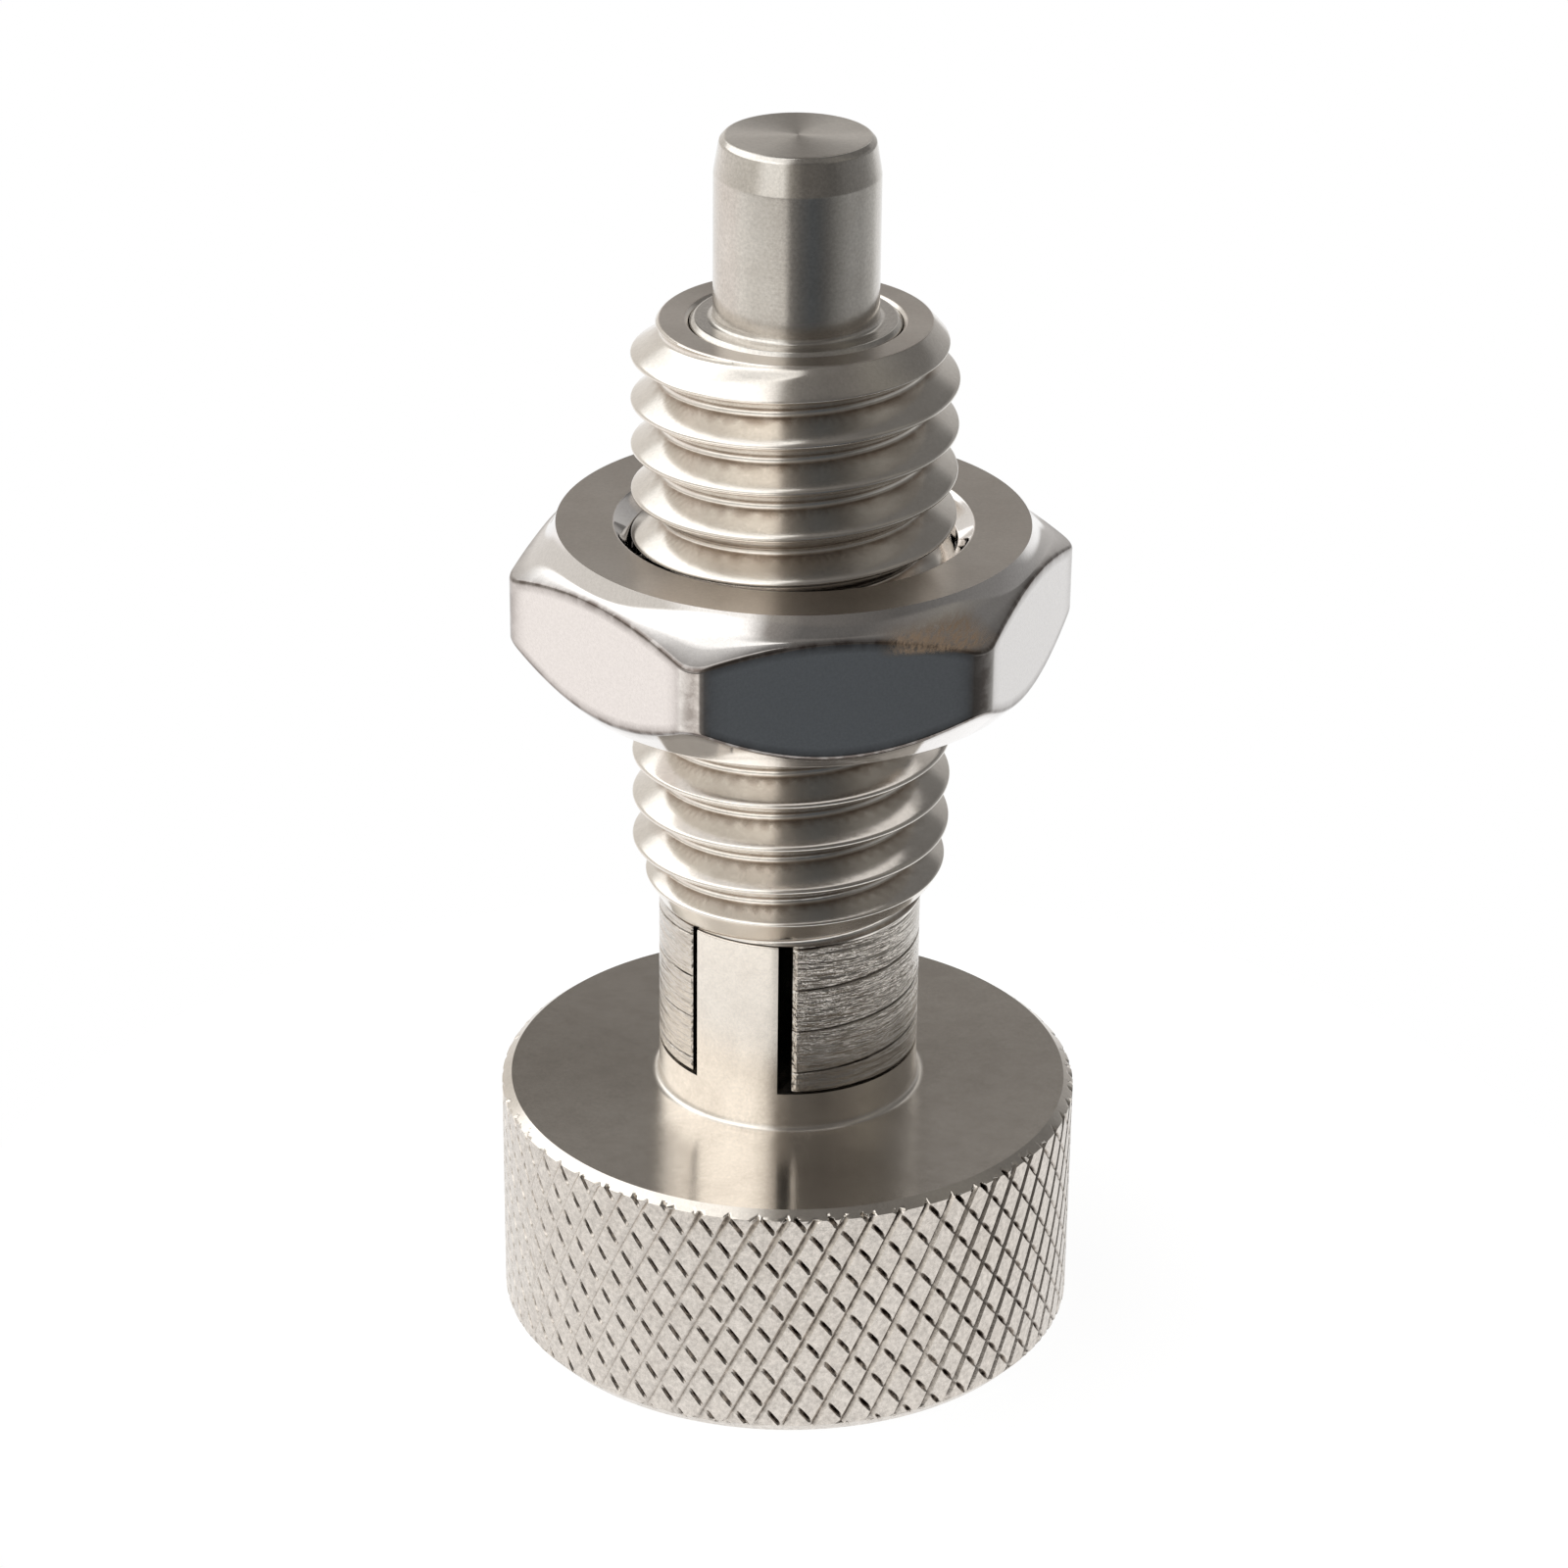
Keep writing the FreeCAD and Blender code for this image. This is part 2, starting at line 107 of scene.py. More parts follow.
@dataclass
class Shell:
    """Grids of points that together enclose one or more solids, in millimetres.

    Each point also has an edge share: 1 where painted shade darkens the colour, 0 elsewhere.
    """

    points: list[Array] = field(default_factory=list)
    quads: list[Array] = field(default_factory=list)
    edges: list[Array] = field(default_factory=list)
    count: int = 0

    def add_grid(self, grid: Array, ring: bool = True, edge: Array | None = None) -> None:
        """Add a grid of points with the shape rows, columns, 3, and its edge shares."""
        quads = grid_quads(grid.shape[0], grid.shape[1], ring=ring)
        self.add_quads(grid.reshape(-1, 3), quads, None if edge is None else edge.reshape(-1))

    def add_quads(self, points: Array, quads: Array, edge: Array | None = None) -> None:
        """Add loose points with the quads that join them, and their edge shares.

        Args:
            points: The points.
            quads: Four point numbers per quad.
            edge: The edge shares.
        """
        self.quads.append(quads + self.count)
        self.points.append(points)
        self.edges.append(np.zeros(len(points)) if edge is None else edge)
        self.count += len(points)

    def add_shell(self, other: "Shell") -> None:
        """Add all of another shell."""
        parts = (np.concatenate(part) for part in (other.points, other.quads, other.edges))
        self.add_quads(*parts)

    def build(self, name: str, material: Material, sharp: float = 38.0) -> Piece:
        """Make the object: one welded mesh with outward faces and smooth shading.

        Args:
            name: Name of the piece.
            material: Its finish.
            sharp: Edges that turn by more degrees than this stay sharp.

        Returns:
            The new object, linked to the scene.
        """
        points = np.concatenate(self.points) * MILLIMETRE
        quads = np.concatenate(self.quads)
        mesh = bpy.data.meshes.new(name)
        mesh.vertices.add(len(points))
        mesh.vertices.foreach_set("co", points.astype(np.float32).ravel())
        mesh.loops.add(quads.size)
        mesh.loops.foreach_set("vertex_index", quads.astype(np.int32).ravel())
        mesh.polygons.add(len(quads))
        mesh.polygons.foreach_set("loop_start", np.arange(0, quads.size, 4, dtype=np.int32))
        mesh.update(calc_edges=True)
        # The edge share goes into the mesh as the attribute that paints shade into the colour.
        edge = mesh.attributes.new("edge", "FLOAT", "POINT")
        edge.data.foreach_set("value", np.concatenate(self.edges).astype(np.float32))
        work = bmesh.new()
        work.from_mesh(mesh)
        bmesh.ops.remove_doubles(work, verts=work.verts, dist=WELD)
        bmesh.ops.recalc_face_normals(work, faces=work.faces)
        work.to_mesh(mesh)
        work.free()
        mesh.shade_smooth()
        mesh.set_sharp_from_angle(angle=math.radians(sharp))
        mesh.materials.append(material)
        piece = bpy.data.objects.new(name, mesh)
        bpy.context.scene.collection.objects.link(piece)
        return piece


def placed(radius: Array | float, turn: Array, height: Array | float) -> Array:
    """Points (r cos a, r sin a, z), from radii, angles and heights that broadcast together."""
    parts = np.broadcast_arrays(radius * np.cos(turn), radius * np.sin(turn), height)
    return np.stack(parts, -1)


def spun(profile: Array, turns: Array) -> Array:
    """Carry a profile of (radius, height) around Z.

    Args:
        profile: Shape (rows, 2), or (rows, columns, 2) where it changes with the angle.
        turns: The columns' angles in radians.

    Returns:
        A grid of shape (rows, columns, 3).
    """
    if profile.ndim == 2:
        profile = profile[:, None]
    return placed(profile[..., 0], turns, profile[..., 1])


def around(profile: Array, columns: int) -> Array:
    """Repeat a profile of shape (rows, 2) for a number of columns."""
    return np.repeat(profile[:, None], columns, axis=1)


def full_turn(count: int) -> Array:
    """Evenly spaced angles over a full turn."""
    return np.linspace(0.0, TURN, count, endpoint=False)


def rotated(points: Array, angle: float) -> Array:
    """Points turned around Z by an angle in radians."""
    cosine, sine = math.cos(angle), math.sin(angle)
    return points @ np.array([[cosine, sine, 0.0], [-sine, cosine, 0.0], [0.0, 0.0, 1.0]])


def strip(edge: Array, other: Array, steps: int = 2) -> Array:
    """Straight lines from one edge to another with as many points.

    The point at s is (1 - s) edge + s other.
    """
    share = np.linspace(0.0, 1.0, steps)[:, None, None]
    return (1 - share) * edge[None] + share * other[None]


def bend(start: Array, corner: Array, end: Array, steps: int) -> Array:
    """A curve that rounds a corner: P(t) = (1 - t)^2 start + 2 t (1 - t) corner + t^2 end."""
    t = np.linspace(0.0, 1.0, steps).reshape((-1,) + (1,) * (corner.ndim - 1))
    return (1 - t) ** 2 * start + 2 * t * (1 - t) * corner + t**2 * end


def eased(corners: Array, breaks: list[float], steps: int = 5, hold: float = 0.025) -> Array:
    """Replace the inner corners of a profile by small curves.

    Each curve starts and ends the corner's break before and after it. One more point on each
    side keeps the flat beside it flat.

    Args:
        corners: Points of the profile, shape (corners, ..., 2).
        breaks: Break of each corner; 0 keeps it sharp.
        steps: Points along each curve.
        hold: Distance of the extra points.

    Returns:
        The points of the eased profile, shape (rows, ..., 2).
    """
    rows = []
    for index, size in enumerate(breaks):
        corner = corners[index][None]
        if size == 0.0:
            rows.append(corner)
            continue
        before = corners[index - 1][None] - corner
        after = corners[index + 1][None] - corner
        reach_before = np.linalg.norm(before, axis=-1, keepdims=True)
        reach_after = np.linalg.norm(after, axis=-1, keepdims=True)
        set_back = np.minimum(size, 0.4 * np.minimum(reach_before, reach_after))
        extra = np.minimum(hold, 0.05 * np.minimum(reach_before, reach_after))
        start = corner + before / reach_before * set_back
        end = corner + after / reach_after * set_back
        rows.append(start + before / reach_before * extra)
        rows.append(bend(start, corner, end, steps))
        rows.append(end + after / reach_after * extra)
    return np.concatenate(rows)


# Pieces


@dataclass(frozen=True)
class Stack:
    """Heights that the pieces share, from the knob's underside."""

    knob_top: float = 9.65
    collar_top: float = 11.23
    tail: float = 11.33
    slot_end: float = 17.50
    nose: float = 40.38
    tip: float = 47.22


def refinish(piece: Piece, material: Material, low: float, high: float) -> None:
    """Give the faces between two heights a finish of their own.

    Args:
        piece: The piece.
        material: The finish.
        low: Lowest height of a face's middle, in millimetres.
        high: Highest height of a face's middle.
    """
    mesh = piece.data
    centres = np.empty(len(mesh.polygons) * 3, np.float32)
    finishes = np.empty(len(mesh.polygons), np.int32)
    mesh.polygons.foreach_get("center", centres)
    mesh.polygons.foreach_get("material_index", finishes)
    height = centres[2::3] / MILLIMETRE
    finishes[(height > low) & (height < high)] = len(mesh.materials)
    mesh.materials.append(material)
    mesh.polygons.foreach_set("material_index", finishes)


def settle(piece: Piece, body: str, node: str) -> None:
    """Let a finished piece move with its body and stand for its node."""
    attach(piece, body)
    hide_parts(node)
    log.info("%s: %d faces, on %s", piece.name, len(piece.data.polygons), body)


@dataclass
class ThreadedSleeve:
    """The sleeve: a coarse right-hand thread, a turned-down tail, a slot and a bored nose."""

    stack: Stack
    crest: float = 5.96
    pitch: float = 1.75
    depth: float = 1.0735
    crest_turn: float = 21.0
    crest_height: float = 27.69
    crest_half: float = 0.045
    root_half: float = 0.11
    crest_rise: float = 0.045
    # Place, width and fade of the painted shade beside the thread's root.
    root_shade_place: float = 0.16
    root_shade_half: float = 0.06
    root_shade_end: float = 0.5
    root_shade_fade: float = 0.3
    line_drop: float = 0.27
    line_half: float = 0.055
    line_depth: float = 0.09
    neck: float = 4.965
    runout_start: float = 0.03
    runout_angle: float = 30.0
    nose_radius: float = 4.93
    nose_chamfer: float = 1.15
    nose_break: float = 0.06
    nose_least: float = 0.045
    bore: float = 3.87
    bore_mouth: float = 0.13
    bore_floor: float = 20.5
    rod_hole: float = 2.1
    slot_half: float = 2.01
    edge_breaks: tuple[float, float] = (0.2, 0.07)
    wall_share: float = 0.7
    end_break: float = 0.06
    end_set: float = 0.05
    rounding: float = 0.045
    line_rounding: float = 0.014
    columns: int = 240
    rows: int = 372
    prong_columns: int = 110
    prong_rows: int = 180

    def from_crest(self, turn: Array, height: Array) -> Array:
        """Distance along Z from the middle of the nearest crest.

        Args:
            turn: Angles around the axis.
            height: Heights.

        Returns:
            The distances.
        """
        rise = self.pitch * (turn - math.radians(self.crest_turn)) / TURN
        share = (height - self.crest_height - rise) / self.pitch
        return np.abs((share + 0.5) % 1.0 - 0.5) * self.pitch

    def thread(self, turn: Array, height: Array) -> Array:
        """Radius of the thread alone.

        With q the distance along Z to the nearest crest's middle, the radius is the crest's
        up to half the crest's width, falls along a straight flank, and is the root's beyond.
        The crest is drawn a little high, because rounding it takes as much off again.

        Args:
            turn: Angles around the axis.
            height: Heights.

        Returns:
            The radii.
        """
        away = self.from_crest(turn, height)
        flank = self.pitch / 2 - self.crest_half - self.root_half
        fall = (self.depth + self.crest_rise) * (away - self.crest_half) / flank
        return self.crest + self.crest_rise - np.clip(fall, 0.0, self.depth + self.crest_rise)

    def tail_share(self, turn: Array, height: Array) -> Array:
        """Share of the line that the thread's root left on the tail: 1 in its middle."""
        away = self.pitch / 2 - self.from_crest(turn, height + self.line_drop)
        return np.clip(1.0 - away / self.line_half, 0.0, 1.0)

    def tail_line(self, turn: Array, height: Array) -> Array:
        """Radius of the tail: the neck with the last trace of the thread's root, a thin V."""
        return self.neck - self.line_depth * self.tail_share(turn, height)

    def envelope(self, height: Array) -> Array:
        """Radius of the turned bar: neck, run-out cone, crests and nose chamfer.

        Args:
            height: Heights.

        Returns:
            The radii.
        """
        foot = self.stack.slot_end + self.runout_start
        rise = (self.crest - self.neck) / math.tan(math.radians(self.runout_angle))
        chamfer = self.stack.nose - self.nose_chamfer
        heights = [foot, foot + rise, chamfer, self.stack.nose]
        return np.interp(height, heights, [self.neck, self.crest, self.crest, self.nose_radius])

    def skin(self, turns: Array, low: float, high: float, tail: bool = False) -> tuple[Array, Array]:
        """Finely sampled outer radius, with its creases slightly rounded along Z.

        The radius is the lesser of thread and envelope, or the tail's, blurred by a bell curve.

        Args:
            turns: The columns' angles.
            low: Lowest height.
            high: Highest height.
            tail: Whether this is the turned-down tail.

        Returns:
            The heights, and the radii with the shape (heights, columns).
        """
        step = 0.01
        reach = 12
        count = int(round((high - low) / step)) + 1
        grid = (low + step * (np.arange(count + 2 * reach) - reach))[:, None]
        cut = self.tail_line if tail else self.thread
        radius = np.minimum(cut(turns[None], grid), self.envelope(grid))
        rounding = self.line_rounding if tail else self.rounding
        taps = np.exp(-0.5 * (step * np.arange(-reach, reach + 1) / rounding) ** 2)
        taps /= taps.sum()
        blurred = sum(tap * radius[shift : shift + count] for shift, tap in enumerate(taps))
        return np.linspace(low, high, count), blurred

    def rows_on(self, heights: Array, radius: Array, count: int) -> tuple[Array, Array]:
        """Rows for the grid, closest where the profile bends most.

        The density is a constant plus the blurred size of the second derivative; each row's
        height is where the summed density reaches the row's share.

        Args:
            heights: Heights of the fine samples.
            radius: Their radii.
            count: How many rows to make.

        Returns:
            The radii and the heights of the rows, each with the shape (rows, columns).
        """
        gain = 1.1
        most = 12.0
        curl = np.abs(np.gradient(np.gradient(radius, heights, axis=0), heights, axis=0))
        total = np.cumsum(1.0 + gain * np.minimum(curl, most), axis=0)
        total = (total - total[0]) / (total[-1] - total[0])
        shares = np.linspace(0.0, 1.0, count)
        levels = [np.interp(shares, column, heights) for column in total.T]
        radii = [np.interp(level, heights, column) for level, column in zip(levels, radius.T)]
        return np.stack(radii, 1), np.stack(levels, 1)

    def body(self) -> Shell:
        """The sleeve above its slot: thread, nose, bore and floor, as one closed profile.

        The painted shade beside the root is a bell curve of the distance from the root's middle,
        and fades out below the nose.

        Returns:
            Its shell.
        """
        turns = full_turn(self.columns)
        top = self.stack.nose
        heights, radius = self.skin(turns, self.stack.slot_end, top - self.nose_break)
        radii, levels = self.rows_on(heights, radius, self.rows)
        outer = np.stack([radii, levels], -1)
        # Painted shade: a brown band on the flanks beside the root, fading out below the nose.
        from_root = self.pitch / 2 - self.from_crest(turns[None], levels)
        root_shade = np.exp(-(((from_root - self.root_shade_place) / self.root_shade_half) ** 2))
        root_shade *= np.clip((top - self.root_shade_end - levels) / self.root_shade_fade, 0.0, 1.0)
        nose = np.minimum(self.nose_radius, radii[-1] - self.nose_least)
        inner = np.array(
            [
                [self.bore + self.bore_mouth, top],
                [self.bore, top - self.bore_mouth],
                [self.bore, self.bore_floor],
                [self.rod_hole, self.bore_floor],
                [self.rod_hole, self.stack.slot_end],
                [self.neck, self.stack.slot_end],
            ]
        )
        rim = np.stack([nose, np.full_like(nose, top)], -1)
        corners = np.concatenate([outer[-1:], rim[None], around(inner, self.columns)])
        path = eased(corners, [0.0, 0.05, 0.03, 0.03, 0.0, 0.0, 0.0, 0.0])
        path[-1] = outer[0]
        clean = np.zeros((len(path) - 2, self.columns))
        shell = Shell()
        shell.add_grid(
            spun(np.concatenate([outer, path[1:]]), turns),
            edge=np.concatenate([root_shade, clean, root_shade[:1]]),
        )
        return shell

    def prongs(self) -> Shell:
        """The two prongs of the tail, each a segment of the neck with a flat inner wall.

        The flat inner wall and the lines outside get dark painted shade. The prongs' ends are rounded.

        Returns:
            Their shell.
        """
        shell = Shell()
        low, high = self.stack.tail, self.stack.slot_end
        for facing, edge_break in zip((0.0, math.pi), self.edge_breaks):
            wall_y = math.sqrt(self.neck**2 - self.slot_half**2) - self.wall_share * edge_break
            edge_turn = math.acos((self.slot_half + edge_break) / self.neck)
            arc = np.linspace(-edge_turn, edge_turn, self.prong_columns)
            heights, radius = self.skin(arc + facing, low, high, tail=True)
            reach, levels = self.rows_on(heights, radius, self.prong_rows)
            lead = np.clip((levels - low) / self.end_break, 0.0, 1.0)
            reach -= self.end_set * (1 - np.sqrt(1 - (1 - lead) ** 2))
            outer = placed(reach, arc, levels)
            inner_y = np.linspace(-wall_y, wall_y, len(arc))
            hollow = np.sqrt(np.clip(self.rod_hole**2 - inner_y**2, 0.0, None))
            inner_x = np.maximum(self.slot_half, hollow)
            inner = np.stack(np.broadcast_arrays(inner_x, inner_y, levels), -1)
            # Painted shade: the flat inner wall is dark all over, and the tail's lines outside are dark
            # too.
            wall = np.ones_like(reach)
            wall[:, [0, -1]] = 0.0
            edge = np.concatenate([self.tail_share(arc + facing, levels), wall], axis=1)
            loop = np.concatenate([outer, inner[:, ::-1]], axis=1)
            shell.add_grid(rotated(loop, facing), edge=edge)
            for row in (0, -1):
                shell.add_grid(rotated(strip(outer[row], inner[row]), facing), ring=False)
        return shell

    def dress(self, finish: Material, tail_finish: Material, face_finish: Material) -> None:
        """Build both pieces and set them on the sleeve's body.

        Args:
            finish: Finish of the thread.
            tail_finish: Finish of the prongs.
            face_finish: Finish of the nose's flat face.
        """
        thread = self.body().build("sleeve_thread", finish)
        refinish(thread, face_finish, self.stack.nose - 0.03, self.stack.nose + 0.01)
        for piece in (thread, self.prongs().build("sleeve_prongs", tail_finish)):
            settle(piece, "sleeve", "threaded_sleeve")


@dataclass
class PlungerPin:
    """The pin: a tapered nose, a root fillet, a guided shoulder and a rod, turned in one piece."""

    stack: Stack
    radius: float = 3.0
    tip_radius: float = 2.62
    tip_bevel: float = 0.18
    taper: float = 1.36
    taper_radius: float = 2.8
    shoulder: float = 3.84
    shoulder_bevel: float = 0.16
    proud: float = 0.07
    shoulder_length: float = 8.0
    fillet: float = 0.2
    rod: float = 2.0
    rod_end: float = 2.63
    rod_chamfer: float = 0.4
    columns: int = 256
    face_rows: int = 12

    def body(self) -> Shell:
        """The whole pin as one profile, closed at both poles.

        Returns:
            Its shell.
        """
        tip = self.stack.tip
        top = self.stack.nose + self.proud
        foot = top - self.shoulder_length
        corners = np.array(
            [
                [0.0, self.rod_end],
                [self.rod - self.rod_chamfer, self.rod_end],
                [self.rod, self.rod_end + self.rod_chamfer],
                [self.rod, foot],
                [self.shoulder - self.shoulder_bevel, foot],
                [self.shoulder, foot + self.shoulder_bevel],
                [self.shoulder, top - self.shoulder_bevel],
                [self.shoulder - self.shoulder_bevel, top],
                [self.radius, top],
                [self.radius, tip - self.taper],
                [self.taper_radius, tip - self.tip_bevel],
                [self.tip_radius, tip],
                [0.0, tip],
            ]
        )
        breaks = [0.0, 0.05, 0.05, 0.0, 0.04, 0.04, 0.05, 0.05, self.fillet, 0.05, 0.06, 0.07, 0.0]
        profile = eased(corners, breaks)
        face = np.linspace(profile[-2], profile[-1], self.face_rows)
        shell = Shell()
        shell.add_grid(spun(np.concatenate([profile[:-2], face]), full_turn(self.columns)))
        return shell

    def dress(self, finish: Material, end_finish: Material) -> None:
        """Build the pin, give its end face its own finish, and set it on the plunger's body.

        Args:
            finish: Finish of the pin.
            end_finish: Finish of its end face.
        """
        piece = self.body().build("pin", finish)
        refinish(piece, end_finish, self.stack.tip - 0.01, self.stack.tip + 0.01)
        settle(piece, "plunger", "plunger_pin")


@dataclass
class KnurledKnob:
    """The knob: a disc with a diamond knurl, a collar and two tabs, made from one bar.

    The pairs hold the falling family of grooves first, then the rising one. The disc's mesh
    meets the stem's on the seam.
    """

    stack: Stack
    rim: float = 11.05
    face: float = 10.68
    top_ring: float = 10.3
    chamfer: float = 0.3
    base: float = 10.65
    base_ring: float = 10.2
    base_chamfer: float = 0.45
    seam: float = 9.0
    stem: float = 4.965
    foot_fillet: float = 0.3
    tang_half: float = 1.665
    tang_break: float = 0.05
    tab_gap: float = 0.04
    rod_hole: float = 2.02
    hole_floor: float = 2.23
    rest_turn: float = -1.4
    grooves: tuple[int, int] = (55, 64)
    rises: tuple[float, float] = (1.596, 2.22)
    starts: tuple[float, float] = (0.883, 0.924)
    halves: tuple[float, float] = (0.095, 0.13)
    depths: tuple[float, float] = (0.16, 0.07)
    dash_end: float = 0.1
    dash_full: float = 0.36
    # How dark the painted shade is in the dashes, and above what pressure it lines the rising grooves.
    dash_shade: float = 1.7
    line_shade: float = 0.8
    press: float = 0.8
    press_turn: float = -10.0
    bite: float = 0.8
    bite_height: float = 0.5
    tab_columns: int = 24
    side_columns: int = 90
    hole_columns: int = 50

    def from_groove(self, turn: Array, height: Array, family: int, hand: Hand) -> Array:
        """Share of a family's spacing from the nearest groove of it.

        A groove lies where n a / 2 pi - s z / p + c is whole, with s the family's hand.
        """
        phase = self.grooves[family] * turn / TURN - hand.value * height / self.rises[family]
        return np.abs((phase + self.starts[family] + 0.5) % 1.0 - 0.5)

    def knurl(self, turn: Array, height: Array) -> tuple[Array, Array]:
        """The knurled rim: two families of V grooves, the deeper cut of the two.

        The falling grooves were rolled first. The rising ones close them where they cross, so
        a falling groove is a row of dashes, deepest in their middles. The wheel of the rising
        ones pressed harder on one side, as 1 + p cos(turn - turn of p), and both bit deeper
        toward the top edge.

        Args:
            turn: Angles around the axis.
            height: Heights.

        Returns:
            The radius, and the share of painted shade in the grooves.
        """
        falling = self.from_groove(turn, height, 0, Hand.FALLING)
        rising = self.from_groove(turn, height, 1, Hand.RISING)
        open_share = np.clip((rising - self.dash_end) / (self.dash_full - self.dash_end), 0.0, 1.0)
        dash = open_share * np.clip(1.0 - falling / self.halves[0], 0.0, 1.0)
        groove = np.clip(1.0 - rising / self.halves[1], 0.0, 1.0)
        pressed = 1.0 + self.press * np.cos(turn - math.radians(self.press_turn))
        start = self.stack.knob_top - self.chamfer - self.bite_height
        bite = 1.0 + self.bite * np.clip((height - start) / self.bite_height, 0.0, 1.0)
        cut = np.maximum(self.depths[0] * dash, self.depths[1] * pressed * groove)
        # Painted shade: the dashes, and a line along the rising grooves on the side pressed harder.
        line = np.clip(pressed - self.line_shade, 0.0, self.line_shade) * groove
        return self.rim - bite * cut, np.maximum(np.clip(self.dash_shade * dash, 0.0, 1.0), line)

    def band(self, low: float, high: float) -> tuple[Array, Array, Array, Array]:
        """The knurled band on a grid that follows both families of grooves.

        From the two phases a and b, less their starts, the turn's share is
        t = (a p + b q) / (n p + m q) and the height is p (a - n t). Each lozenge is one cell of
        the grid. Points past an edge of the band are set on it.

        Args:
            low: Height of the band's lower edge.
            high: Height of its upper edge.

        Returns:
            The points, the quads, the angles of the points and their shares of painted shade.
        """
        across = self.halves[0] * np.array([0.0, 0.4, 0.75, 1.0, 1.3])
        along = np.array([0.0, 0.5 * self.halves[1], self.halves[1], 0.2, self.dash_full])
        across = np.concatenate([across, [0.5], 1.0 - across[::-1]])[:, None]
        along = np.concatenate([along, [0.5], 1.0 - along[::-1]])[None, :]
        (n, m), (p, q) = self.grooves, self.rises
        whole = n * p + m * q
        reach = 2.5
        first = np.arange(-2, n + int((high + reach) / p) + 3)
        second = np.arange(-int(high / q) - 3, m + 2)
        i, j = np.meshgrid(first, second, indexing="ij")
        corner_t = ((i - self.starts[0]) * p + (j - self.starts[1]) * q) / whole
        corner_z = p * (i - self.starts[0] - n * corner_t)
        kept = (corner_t >= 0) & (corner_t < 1) & (corner_z > low - reach) & (corner_z < high + reach)
        i, j = i[kept][:, None, None], j[kept][:, None, None]
        a = i + across - self.starts[0] + 0 * along
        b = j + along - self.starts[1] + 0 * across
        share = (a * p + b * q) / whole
        turn = share * TURN
        height = np.clip(p * (a - n * share), low, high)
        radius, shade = self.knurl(turn, height)
        one = grid_quads(across.size, along.size, ring=False)
        cell = across.size * along.size
        quads = (one[None] + np.arange(len(i))[:, None, None] * cell).reshape(-1, 4)
        spans = np.ptp(height.reshape(-1)[quads], axis=1)
        points = placed(radius, turn, height).reshape(-1, 3)
        return points, quads[spans > 1e-9], turn.reshape(-1), shade.reshape(-1)

    def edge_turns(self, points: Array, quads: Array, turn: Array, height: float) -> Array:
        """Sorted angles of the band's points that lie on one of its edges.

        Args:
            points: The band's points.
            quads: Its quads.
            turn: The points' angles.
            height: The edge's height.

        Returns:
            The angles, each once.
        """
        used = np.unique(quads)
        on_edge = used[np.abs(points[used, 2] - height) < 1e-9]
        angle = np.sort(np.round(turn[on_edge] % TURN, 7) % TURN)
        keep = np.concatenate([[True], np.diff(angle) > 2e-6])
        return angle[keep]

    def edge_cone(self, turns: Array, low: float, high: float, end: float, face: Array) -> Array:
        """A chamfer with the knurl's grooves running out in it, and the face next to it.

        The cone's radius falls evenly from the rim's to the end's; the grooves cut below it.

        Args:
            turns: The columns' angles.
            low: Height where the cone starts, on the knurl.
            high: Height where it ends, on the face.
            end: Radius there.
            face: Further points of the profile, shape (rows, 2).

        Returns:
            A grid of shape (rows, columns, 3).
        """
        share = np.linspace(0.0, 1.0, 9)[:, None]
        height = low + (high - low) * share + 0 * turns
        cone = self.rim + (end - self.rim) * share + 0 * turns
        radius, _ = self.knurl(turns[None], height)
        chamfer = np.stack([np.minimum(radius, cone), height], -1)
        chamfer[-1, :, 0] = end
        return spun(np.concatenate([chamfer, around(face, len(turns))]), turns)

    def disc(self) -> Shell:
        """The disc with its knurl, chamfers and faces.

        Returns:
            Its shell.
        """
        shell = Shell()
        top = self.stack.knob_top
        low, high = self.base_chamfer, top - self.chamfer
        points, quads, turn, shade = self.band(low, high)
        shell.add_quads(points, quads, shade)
        ends = (
            (high, top, self.face, [[self.top_ring, top], [self.seam, top]]),
            (low, 0.0, self.base, [[self.base_ring, 0.0], [0.0, 0.0]]),
        )
        for start, end, radius, face in ends:
            turns = self.edge_turns(points, quads, turn, start)
            shell.add_grid(self.edge_cone(turns, start, end, radius, np.array(face)))
        return shell

    def tab_turns(self, radius: float, side_columns: int) -> Array:
        """Angles of a round's columns, with one on each edge of the tabs.

        Args:
            radius: The round's radius.
            side_columns: Columns between the tabs.

        Returns:
            The angles.
        """
        half = math.asin(self.tang_half / radius)
        tab = np.linspace(QUARTER - half, QUARTER + half, self.tab_columns)
        side = np.linspace(QUARTER + half, 3 * QUARTER - half, side_columns)[1:-1]
        return np.concatenate([tab, side, tab + math.pi, side + math.pi])

    def stem_part(self) -> Shell:
        """The smooth top face, the stem's fillet, the collar and the rod's blind hole.

        Returns:
            Their shell.
        """
        top, collar = self.stack.knob_top, self.stack.collar_top
        corners = np.array([[self.seam, top], [self.stem, top], [self.stem, collar]])
        profile = eased(corners, [0.0, self.foot_fillet, 0.0], steps=9)
        flat = np.linspace([self.seam, top], [profile[1, 0], top], 10)
        outside = np.concatenate([flat, profile[2:]])
        floor = self.hole_floor
        inside = np.array([[self.rod_hole, collar], [self.rod_hole, floor], [0.0, floor]])
        shell = Shell()
        shell.add_grid(spun(outside, self.tab_turns(self.stem, self.side_columns)))
        shell.add_shell(self.top_part())
        shell.add_grid(spun(inside, self.tab_turns(self.rod_hole, self.hole_columns)))
        return shell

